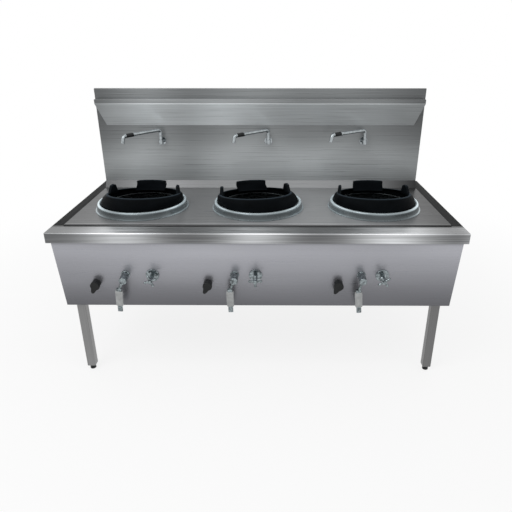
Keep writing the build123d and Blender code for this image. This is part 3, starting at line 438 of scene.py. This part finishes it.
iron = cast("sooty_casting", 0.003, specular=0.03)
coat(iron, *[name for name in parts if name.endswith("chamber")], "burner_heads")
print(iron.name, "has", len(iron.node_tree.nodes), "nodes")

# %% [markdown]
# ## Closed shells from arrays
#
# The rings, the collars and the handles are softer than solids with a few faces can be. They
# could be modelled by hand and subdivided, but a formula keeps every measure in sight, so they
# are worked out with numpy. Each one is a grid of points: a row for every step along a
# profile, a column for every step round it. Neighbouring points make a face, and the first and
# last row either meet each other, as on a ring, or are closed with a point in their middle.

# %% Turn grids of points into a piece
def shell(grid, ring=False):
    """Points, quads and triangles of a grid (rows, columns, 3) whose columns run round. The last
    row meets the first on a ring; otherwise a fan of triangles closes each end at its middle."""
    index = np.arange(grid[..., 0].size).reshape(grid.shape[:2])
    beside = np.roll(index, -1, axis=1)
    below = np.roll(index, -1, axis=0)
    quads = np.stack([index, beside, np.roll(below, -1, axis=1), below], -1)
    points = grid.reshape(-1, 3)
    if ring:
        return points, quads.reshape(-1, 4), np.empty((0, 3), int)
    first, last = len(points), len(points) + 1
    fans = np.vstack([np.stack([0 * index[0] + first, beside[0], index[0]], -1),
                      np.stack([0 * index[-1] + last, index[-1], beside[-1]], -1)])
    points = np.vstack([points, grid[0].mean(0), grid[-1].mean(0)])
    return points, quads[:-1].reshape(-1, 4), fans


def volume(points, quads, triangles):
    """The signed volume, positive where the faces look outwards: a sixth of the sum of
    a . (b x c) over all triangles, with every quad taken as two of them."""
    corners = np.vstack([quads[:, [0, 1, 2]], quads[:, [0, 2, 3]], triangles])
    a, b, c = points[corners.T]
    return np.einsum("ij,ij->i", a, np.cross(b, c)).sum() / 6


def make_piece(name, shells, finish, body, old=(), worn_and_lit=()):
    """One smooth piece from several shells. Shells that look inwards are turned round first."""
    points, faces, start = [], [], 0
    for shell_points, *kinds in shells:
        turned = -1 if volume(shell_points, *kinds) < 0 else 1
        for kind in kinds:
            faces += (kind[:, ::turned] + start).tolist()
        points.append(shell_points)
        start += len(shell_points)
    mesh = bpy.data.meshes.new(name)
    mesh.from_pydata(np.vstack(points).tolist(), [], faces)
    mesh.polygons.foreach_set("use_smooth", np.ones(len(faces), bool))
    if len(worn_and_lit):
        mesh.attributes.new("worn_and_lit", "FLOAT", "POINT").data.foreach_set("value", np.concatenate(worn_and_lit))
    mesh.materials.append(finish)
    mesh.update()
    piece = bpy.data.objects.new(name, mesh)
    bpy.context.scene.collection.objects.link(piece)
    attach(piece, body)
    if old:
        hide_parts(*old)
    return piece


# %% [markdown]
# ## The wok rings
#
# A wok ring is one heavy casting. Its upright foot stands inside the collar, its wall swells a
# little as it narrows to the rim, and the rim falls towards the back. It lies loose in its
# collar, so each ring is a little turned and off the middle. Two horn-like lugs at the sides
# and a broad one at the back hold the wok and let the flame out. A lathe alone can't make the
# wall, because the foot is level and the rim isn't. So a closed profile is carried round, and
# at every angle it is drawn between two circles: the foot's, and the tilted one of the rim.

# %% Work out the wall of a ring
deck_height = 0.762
ring_axis_y = -0.0559
# for each ring: the x of its foot's axis, its turn in degrees, and how far its rim stands aside
ring_axes = {"left": (-0.562, -1.6, 0.011), "middle": (-0.005, 11.0, -0.011),
             "right": (0.554, 1.0, -0.004)}
foot_radius, foot_low, foot_high = 0.193, 0.0183, 0.0383
rim_radius, rim_height, rim_tilt = 0.175, 0.069, np.radians(7.1)
wall, lip, swell_out = 0.011, 0.0035, 0.004


def rim_place(angle, radius, rise):
    """A point of the rim's tilted frame: its middle, plus the radius at the angle, plus the rise
    along the frame's own axis. All three can be arrays."""
    side = radius * np.cos(angle)
    back = radius * np.sin(angle) * np.cos(rim_tilt) + rise * np.sin(rim_tilt)
    up = rim_height - radius * np.sin(angle) * np.sin(rim_tilt) + rise * np.cos(rim_tilt)
    return np.stack(np.broadcast_arrays(side, back, up), -1)


def ring_wall(columns=192):
    """The wall: share 0 is the top of the foot and share 1 the rim, and a point is the mix of
    the two circles by its share, less its inset, plus a swell of sin(pi share). Below share 0
    comes the upright foot. The lip takes the last part of the share and rounds off as two
    quarter circles, and two shallow waves round the axis make it a little uneven, as sand does.
    It is lightest on the rim, scuffed and with a painted highlight, by a bell over the last part
    of the share."""
    turn = np.linspace(0, np.pi / 2, 6)
    lip_part, foot_edge, rubbed_and_lit_part = 0.09, 0.0012, 0.05
    broad_wave, fine_wave = 0.0003, 0.0002
    foot = np.array([-1, -0.95, -0.5])
    outer = np.linspace(0, 0.9, 12)
    share = np.concatenate([foot, outer, 1 - lip_part * (1 - np.sin(turn)),
                            1 - lip_part * (1 - np.cos(turn)), outer[::-1], foot[::-1]])
    inset = np.concatenate([[foot_edge, 0, 0], 0 * outer, lip * (1 - np.cos(turn)),
                            wall - lip * (1 - np.sin(turn)), wall + 0 * outer,
                            [wall, wall, wall - foot_edge]])
    outside = np.where(inset < wall / 2, 1.0, 0.0)
    share, inset, outside = (values[:, None] for values in (share, inset, outside))
    angle = np.linspace(0, 2 * np.pi, columns, endpoint=False)[None, :]
    wave = broad_wave * np.sin(7 * angle + 1) + fine_wave * np.sin(19 * angle)
    mix = np.clip(share, 0, 1)
    swell = swell_out * np.sin(np.pi * mix) * outside + wave * mix
    low_radius = foot_radius - inset + swell
    low = np.stack(np.broadcast_arrays(low_radius * np.cos(angle), low_radius * np.sin(angle),
                                       foot_high + np.minimum(share, 0) * (foot_high - foot_low)), -1)
    high = rim_place(angle, rim_radius - inset + swell, 0)
    grid = low * (1 - mix[..., None]) + high * mix[..., None]
    # lightest on the rim: scuffed iron and a painted highlight
    rubbed_and_lit = np.broadcast_to(np.exp(-((mix - 1) / rubbed_and_lit_part) ** 2) * (inset < wall), grid.shape[:2])
    return grid, rubbed_and_lit


wall_grid, wall_rubbed_and_lit = ring_wall()
widest = np.hypot(wall_grid[..., 0], wall_grid[..., 1]).max()
print("ring wall", wall_grid.shape[:2], "widest", round(float(widest), 4), "m")

# %% [markdown]
# ## The lugs of a ring
#
# A lug is a slab bent round the ring's axis. A box with bevelled edges could be bent the same
# way, but it needs many cuts to bend smoothly. Level by level the slab is a rounded rectangle,
# which a superellipse gives at once: as an ellipse, but with its cosine and sine raised to a
# power below one, so that the sides stay straight and the corners soft. The slab leans in,
# tapers to its top, and is crowned in the middle.

# %% Work out a lug
lug_deep, lug_thick, lug_lean, lug_edge = 0.012, 0.014, 0.13, 0.005
lug_set_in = 0.0036
lug_outer = rim_radius - lug_set_in


def lug(direction, width, taper, tall, crowned, squareness=0.22, columns=96):
    """A lug at a direction in degrees: half its width falls by the taper to the top, the edge
    rounds off as a quarter circle, and the top sinks with the square of the place across. The
    last three levels are the flat top, drawn in to a share of the outline."""
    turn = np.linspace(0, np.pi / 2, 8)[1:]
    straight = np.linspace(-lug_deep, tall - lug_edge, 16)
    top_shares = [0.75, 0.45, 0.15]
    rise = np.concatenate([straight, tall - lug_edge + lug_edge * np.sin(turn), [tall] * 3])
    shrink = np.concatenate([0 * straight, lug_edge * (1 - np.cos(turn)), [lug_edge] * 3])
    cap = np.concatenate([np.ones(len(straight) + len(turn)), top_shares])
    rise, shrink, cap = (values[:, None] for values in (rise, shrink, cap))
    around = np.linspace(0, 2 * np.pi, columns, endpoint=False)[None, :]
    flat = np.sign(np.cos(around)) * np.abs(np.cos(around)) ** squareness
    deep = np.sign(np.sin(around)) * np.abs(np.sin(around)) ** (squareness * 2)
    half = width / 2 - taper * np.clip(rise, 0, None) / tall - shrink
    across = half * flat * cap
    radial = (lug_thick / 2 - shrink) * deep * cap
    crown = crowned * (across / half) ** 2 * np.clip(rise / tall, 0, 1)
    radius = lug_outer - lug_thick / 2 - lug_lean * rise + radial
    grid = rim_place(np.radians(direction) + across / radius, radius, rise - crown)
    # a touch lighter all over and most on the rounded edges: scuffed iron and a painted highlight
    rubbed_and_lit = 0.08 + 0.6 * np.clip(shrink / lug_edge, 0, 1) * (cap == 1)
    return grid, np.broadcast_to(rubbed_and_lit, grid.shape[:2])


# direction, width, taper, height and crown
lugs = [lug(90, 0.158, 0.002, 0.040, 0.0015), lug(172, 0.084, 0.022, 0.036, 0.004),
        lug(8, 0.084, 0.022, 0.036, 0.004)]
print("lugs", len(lugs), "each a grid of", lugs[0][0].shape[:2])

# %% [markdown]
# ## Three rings from one pattern
#
# A foundry casts all three rings from one wooden pattern, and the loop below does the same: one
# wall and three lugs, turned and set down three times. Linked copies would save memory, but a
# piece that rides on its own body keeps its place in its own mesh.

# %% Cast the three rings
# rim and lug edges a touch lighter: scuffed iron and a painted highlight
ring_iron = cast("black_casting", 0.0026, tint=(0.75, 1, 1.25), worn_and_lit=0.035, specular=0.03)


def on_deck(grid, axis_x, turn, aside):
    """The grid turned about the upright axis by an angle in degrees and set on a burner's axis.
    Its rim, and all above it, stands aside of the foot, as it does where the core of a casting
    has shifted in the sand."""
    angle = np.radians(turn)
    turned = grid @ np.array([[np.cos(angle), np.sin(angle), 0], [-np.sin(angle), np.cos(angle), 0],
                              [0, 0, 1]])
    turned[..., 0] += aside * np.clip((turned[..., 2] - foot_high) / (rim_height - foot_high), 0, 1)
    return turned + np.array([axis_x, ring_axis_y, deck_height])


for side, stand in ring_axes.items():
    shells = [shell(on_deck(wall_grid, *stand), ring=True)]
    shells += [shell(on_deck(made, *stand)) for made, _ in lugs]
    worn_and_lit = [wall_rubbed_and_lit.ravel()] + [np.append(shade.ravel(), [0, 0]) for _, shade in lugs]
    piece = make_piece(side + "_cast_ring", shells, ring_iron, side + "_wok_ring",
                       old=[side + "_wok_ring"], worn_and_lit=worn_and_lit)
    low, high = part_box(side + "_wok_ring")
    print(piece.name, len(piece.data.polygons), "faces, part from", [round(x, 4) for x in low], "to",
          [round(x, 4) for x in high])

# %% [markdown]
# ## Chrome, brass, copper and pipe
#
# Spouts, levers and taps are plated: a smooth mirror, slightly uneven where it was polished by
# hand. Brass, copper and steel pipe under the deck are duller, with the blotches of age. An
# even mirror would look like glass, so one recipe lets soft noise vary the gloss, the tone
# and a shallow bump, and each metal gives it a colour and a strength.

# %% Make the smooth metals
def plated(name, colour, roughness=(0.08, 0.2), blotch=0.1, size=0.03, metallic=1.0, shares=None):
    """A metal of one colour whose gloss and tone vary in soft blotches of a size in metres.

    shares takes the material's tree and gives further shares for the tone.
    """
    made, tree, shader = new_finish(name, metallic)
    wave = stretched(tree, (size, size, size), detail=3.0)
    strength = spread(tree, wave, 1 - blotch, 1 + blotch)
    for share in shares(tree) if shares else ():
        strength = times(tree, strength, share)
    shade = add_node(tree, "VectorMath", {0: colour, "Scale": strength}, operation="SCALE")
    tree.links.new(shade.outputs[0], shader.inputs["Base Color"])
    tree.links.new(spread(tree, wave, *roughness), shader.inputs["Roughness"])
    bump = add_node(tree, "Bump", {"Height": wave, "Strength": 0.3, "Distance": 0.0002})
    tree.links.new(bump.outputs[0], shader.inputs["Normal"])
    return made


# %% Plate the fittings and coat the pipes
chrome = plated("polished_chrome", (0.36, 0.39, 0.405), blotch=0.25, size=0.012)
# the same chrome with painted shade: a darker tone for the levers, taps and flanges, and more blotches of
# wear
handled_and_shaded_chrome = plated("handled_and_shaded_chrome", (0.22, 0.25, 0.26), blotch=0.7, size=0.01)
brass = plated("cast_brass", (0.5, 0.36, 0.16), roughness=(0.25, 0.4), blotch=0.2)
copper = plated("copper_tube", (0.55, 0.27, 0.17), roughness=(0.2, 0.4), blotch=0.25)
pipe_steel = plated("painted_pipe", (0.2, 0.2, 0.2), roughness=(0.4, 0.6), blotch=0.2)
coat(chrome, *[name for name in parts if name.endswith("_spout")], "spout_elbows", "panel_screws")
coat(handled_and_shaded_chrome, *[name for name in parts if name.endswith(("gas_lever", "tap_handle"))],
     "control_flanges")
coat(brass, "lever_valves", "pilot_valves", "tap_valves")
coat(pipe_steel, "gas_manifold", "burner_feeds")
coat(copper, "pilot_tubes", "water_header", "water_risers")
print("metals", [metal.name for metal in (chrome, handled_and_shaded_chrome, brass, copper, pipe_steel)])

# %% [markdown]
# ## The finish of the collars
#
# A collar is spun from thin stainless steel. Its rolled lip and the edge of its flange get
# painted highlights, and the wall between them painted shade. Its left and right sides are
# painted lighter than the front, as they catch more light. These zones could be painted on an
# unfolded map, but two ramps say the same: one by the height, one by the place across. The
# three collars stand at an even pitch, so that place is the object's x wrapped to the pitch.

# %% Shade a collar
burner_pitch, middle_burner = 0.559, -0.004


def collar_painted_light(tree):
    """Painted highlights on the lip and flange edge and painted shade on the wall along z, and
    painted light on the left and right sides along the wrapped x.
    """
    right_end, left_end = middle_burner + burner_pitch / 2, middle_burner - burner_pitch / 2
    across = add_node(tree, "Math", {0: coordinate(tree, "x"), 1: right_end, 2: left_end},
                      operation="WRAP").outputs[0]
    # painted highlights on the lip and flange edge, painted shade on the wall
    upright = bands(tree, coordinate(tree, "z"), [(0.76, 0.4), (0.7625, 0.5), (0.7653, 0.5), (0.768, 0.31),
                                                  (0.785, 0.33), (0.789, 0.75), (0.793, 1.0), (0.797, 1.0)])
    # painted light on the left and right sides
    sideways = bands(tree, across, [(-0.225, 1.0), (-0.185, 0.95), (-0.13, 0.45), (0.0, 0.38),
                                    (0.12, 0.45), (0.18, 0.95), (0.217, 1.0)])
    return upright, sideways


collar_steel = plated("spun_collar", (0.78, 0.9, 0.95), roughness=(0.24, 0.3), blotch=0.04, size=0.05,
                      metallic=0.6, shares=collar_painted_light)
print(collar_steel.name, "has", len(collar_steel.node_tree.nodes), "nodes")

# %% [markdown]
# ## Spinning the collars
#
# The lip of a collar is rolled over a wire, so it is round and full, and every bend of the
# thin sheet has a radius. The workshop presses sheet against a turning form, and turning a
# profile once round the burner's axis does the same here. A modifier could give a bare sheet
# its thickness, but the roll has another one, so the profile is closed. It follows the sheet:
# out along the flange, up the wall, over the lip, down to the ledge that carries the wok ring,
# along the skirt that hangs in the deck's hole, and back. Arcs stand in for the corners.

# %% Spin the three collars
def arc(middle, radius, start, end, steps=8):
    """Points on a circle: its middle plus its radius along angles from start to end in degrees."""
    angle = np.radians(np.linspace(start, end, steps))
    return np.stack([middle[0] + radius * np.cos(angle), middle[1] + radius * np.sin(angle)], -1)


def spun(profile, columns=192):
    """A closed profile of radius and height turned about the upright axis: (r cos a, r sin a, z)."""
    angle = np.linspace(0, 2 * np.pi, columns, endpoint=False)[None, :]
    radius, height = profile[:, :1], profile[:, 1:] + 0 * angle
    return np.stack([radius * np.cos(angle), radius * np.sin(angle), height], -1)


# pairs of a radius and a height over the deck
flange = [[(0.22, 0.0003)], arc((0.2185, 0.0018), 0.0015, 0, 90), arc((0.2155, 0.0052), 0.0018, -90, -165)]
rolled_lip = arc((0.202, 0.0272), 0.0075, -15, 205, 20)
ledge = [[(0.1953, 0.0205)], arc((0.1945, 0.0190), 0.001, 0, -90), arc((0.177, 0.017), 0.001, 90, 180)]
skirt = [(0.176, 0.014), (0.1965, 0.014), (0.1965, -0.032), (0.199, -0.032), (0.199, 0.021)]
under_wall = [(0.2045, 0.022), (0.2105, 0.0003)]
collar_profile = np.vstack([*flange, rolled_lip, *ledge, skirt, under_wall])
for step, side in enumerate(("left", "middle", "right"), -1):
    axis_x = middle_burner + step * burner_pitch
    grid = spun(collar_profile) + np.array([axis_x, ring_axis_y, deck_height])
    piece = make_piece(side + "_spun_collar", [shell(grid, ring=True)], collar_steel, "root",
                       old=[side + "_collar"])
    print(piece.name, len(piece.data.polygons), "faces")

# %% [markdown]
# ## Plastics
#
# Knobs, feet and spout grips are moulded black plastic with a fine texture. The lever sleeves
# are a pale, slightly clear plastic. The texture is far finer than a pixel, but it breaks up
# the gloss, so it goes into the bump and the roughness and not into the mesh. A thin clear
# coat is enough for the sleeves; letting light through them would cost time and show no more.

# %% Make the plastics
def moulded(name, colour, roughness=(0.3, 0.45), **inputs):
    """Plastic with a fine moulded grain in its bump and gloss and a faint drift of colour."""
    made, tree, shader = new_finish(name, metallic=0.0, **inputs)
    grain = stretched(tree, (0.0012, 0.0012, 0.0012), detail=2.0)
    drift = stretched(tree, (0.02, 0.02, 0.02), detail=1.0)
    shade = add_node(tree, "VectorMath", {0: colour, "Scale": spread(tree, drift, 0.85, 1.15)},
                     operation="SCALE")
    tree.links.new(shade.outputs[0], shader.inputs["Base Color"])
    tree.links.new(spread(tree, grain, *roughness), shader.inputs["Roughness"])
    bump = add_node(tree, "Bump", {"Height": grain, "Strength": 0.3, "Distance": 0.0002})
    tree.links.new(bump.outputs[0], shader.inputs["Normal"])
    return made


black_plastic = moulded("black_plastic", (0.008, 0.009, 0.0095), Specular_IOR_Level=0.25)
pale_plastic = moulded("pale_sleeve", (0.34, 0.35, 0.35), roughness=(0.35, 0.5), Coat_Weight=0.2)
coat(black_plastic, *[name for name in parts if name.endswith("foot")])
print("plastics", black_plastic.name, pale_plastic.name)

# %% [markdown]
# ## Handles
#
# The front panel leans back to its foot. A handle could be made upright and then tilted, but
# its place has to stay in its mesh, so everything on the panel is set out along three
# directions: down the panel, out of it, and across. A knob is a drop shape, round with one
# pointed side; its corners are soft and its top is a little hollow. A sleeve is slid over the
# flat end of its lever, and long ribs keep it from slipping in the hand. Both are outlines
# that shrink at their ends, the knob's given by a radius for every angle.

# %% Set out the panel's directions
panel_back, panel_fall = 0.045, 0.3317
panel_lean = np.arctan2(panel_back, panel_fall)
panel_down = np.array([0, np.sin(panel_lean), -np.cos(panel_lean)])
panel_out = np.array([0, -np.cos(panel_lean), -np.sin(panel_lean)])
panel_top = np.array([0, -0.3985, 0.7117])


def in_frame(grid, origin, first, second, third):
    """The grid's three numbers measured along three directions from an origin."""
    return origin + grid[..., :1] * first + grid[..., 1:2] * second + grid[..., 2:] * third


def across_and_along(turn):
    """The directions across and along a handle that is turned in the panel, in degrees."""
    angle = np.radians(turn)
    along = np.cos(angle) * panel_down + np.sin(angle) * np.array([1, 0, 0])
    return np.cross(along, panel_out), along


print("panel leans back", round(float(np.degrees(panel_lean)), 2), "degrees")

# %% Mould the knobs
def knob_shape(columns=96):
    """A drop: the radius round it is 21 mm, and grows as a narrow bell to 43 mm on the pointed
    side. Level by level the radius takes a share: it widens a little to the shoulder, draws in
    there as a quarter circle, and falls to the middle while the top sinks by under a millimetre."""
    round_side, point, point_width = 0.021, 0.022, 0.36
    turn = np.linspace(0, np.pi / 2, 7)
    rise = np.concatenate([[0.002, 0.0022, 0.01, 0.02], 0.031 + 0.003 * np.sin(turn),
                           [0.0338, 0.0332, 0.033]])
    share = np.concatenate([[0.87, 0.9, 0.92, 0.96], 1 - 0.12 * (1 - np.cos(turn)), [0.7, 0.4, 0.15]])
    angle = np.linspace(-np.pi, np.pi, columns, endpoint=False)[None, :]
    radius = (round_side + point * np.exp(-(angle / point_width) ** 2)) * share[:, None]
    rise = rise[:, None] + 0 * angle
    return np.stack([radius * np.sin(angle), rise, radius * np.cos(angle)], -1)


knob_places = {"left": -0.722, "middle": -0.222, "right": 0.362}
knob_down, knob_turn = 0.208, -25
across, along = across_and_along(knob_turn)
for side, x in knob_places.items():
    origin = panel_top + knob_down * panel_down + np.array([x, 0, 0])
    grid = in_frame(knob_shape(), origin, across, panel_out, along)
    piece = make_piece(side + "_drop_knob", [shell(grid)], black_plastic, side + "_pilot_knob",
                       old=[side + "_pilot_knob"])
    print(piece.name, len(piece.data.polygons), "faces")

# %% Slide on the sleeves
def sleeve_shape(columns=120):
    """A rounded bar: a superellipse 34 mm wide and 15 mm thick, a little narrower to its foot,
    with ribs that follow the cosine of the place across. At its ends it draws in by one minus
    the cosine while it runs on by the sine, so they are quarter rounds."""
    half_long, half_wide, half_thick, edge = 0.039, 0.0168, 0.0075, 0.003
    narrowing, squareness = 0.0012, 0.4
    rib_count, rib_height = 5, 0.0005
    turn = np.linspace(0, np.pi / 2, 6)
    body = np.linspace(-0.03, 0.03, 10)
    along = np.concatenate([-half_long + edge * (1 - np.sin(turn[::-1])), body,
                            half_long - edge * (1 - np.sin(turn))])
    inset = np.concatenate([edge * (1 - np.cos(turn[::-1])), 0 * body, edge * (1 - np.cos(turn))])
    angle = np.linspace(0, 2 * np.pi, columns, endpoint=False)[None, :]
    along, inset = along[:, None], inset[:, None]
    wide = half_wide - narrowing * (along / half_long + 1) / 2 - inset
    flat = np.sign(np.cos(angle)) * np.abs(np.cos(angle)) ** squareness
    thick = np.sign(np.sin(angle)) * np.abs(np.sin(angle)) ** squareness
    ribs = rib_height * np.cos(flat * rib_count * np.pi) * np.abs(thick)
    deep = (half_thick - inset + ribs) * thick
    return np.stack(np.broadcast_arrays(wide * flat, deep, along + 0 * angle), -1)


def box_middle(name):
    """The middle of a part's box."""
    low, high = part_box(name)
    return (np.array(low) + np.array(high)) / 2


lever_turns = {"left": -5.5, "middle": 0, "right": 6}
for side, turn in lever_turns.items():
    across, along = across_and_along(turn)
    grid = in_frame(sleeve_shape(), box_middle(side + "_lever_sleeve"), across, panel_out, along)
    piece = make_piece(side + "_ribbed_sleeve", [shell(grid)], pale_plastic, side + "_gas_lever",
                       old=[side + "_lever_sleeve"])
    print(piece.name, len(piece.data.polygons), "faces")

# %% [markdown]
# ## Grips and ferrules on the spouts
#
# The cook swings a hot spout by a black grip near its bend. The grip is turned with shallow
# rings, and a plated ferrule holds it at each end. A bump could draw the rings, but the grip
# stands against the pale splashback, where its outline shows them. So grip and ferrules are
# profiles turned round an axis, which is then laid along the arm.

# %% Turn the grips and ferrules
spout_turns = {"left": 44, "middle": 38, "right": 30}
arm_fall, arm_reach = 0.008, 0.210
grip_bore, ferrule_away = 0.0086, 0.0238


def turned_ring(length, radius, bore, ring_depth=0.0, rings=0, steps=40):
    """A sleeve along its axis with a plain bore. Its outside is the radius, less a quarter round
    at each end, less half the ring depth times one minus the cosine of the place along it."""
    edge = 0.001
    place = np.linspace(-1, 1, steps)
    inward = np.clip((1 - np.abs(place)) * length / 2 / edge, 0, 1)
    rounding = edge * (1 - np.sqrt(1 - (1 - inward) ** 2))
    grooves = ring_depth * (0.5 - 0.5 * np.cos(place * rings * 2 * np.pi)) * (inward == 1)
    outside = np.stack([radius - rounding - grooves, place * length / 2], -1)
    return spun(np.vstack([outside, [(bore, length / 2), (bore, -length / 2)]]), 64)


for side, turn in spout_turns.items():
    angle = np.radians(turn)
    arm = np.array([-np.cos(angle), -np.sin(angle), -arm_fall / arm_reach])
    arm /= np.linalg.norm(arm)
    level = np.array([-arm[1], arm[0], 0]) / np.hypot(arm[0], arm[1])
    upward = np.cross(arm, level)
    middle = box_middle(side + "_spout_grip")
    grip = turned_ring(0.040, 0.0103, grip_bore, ring_depth=0.0009, rings=3.5)
    piece = make_piece(side + "_ringed_grip", [shell(in_frame(grip, middle, level, upward, arm), ring=True)],
                       black_plastic, side + "_spout", old=[side + "_spout_grip"])
    ferrule = turned_ring(0.007, 0.0108, grip_bore)
    shells = [shell(in_frame(ferrule, middle + arm * away, level, upward, arm), ring=True)
              for away in (-ferrule_away, ferrule_away)]
    make_piece(side + "_spout_ferrules", shells, chrome, side + "_spout")
    print(piece.name, len(piece.data.polygons), "faces, along", [round(float(v), 3) for v in arm])
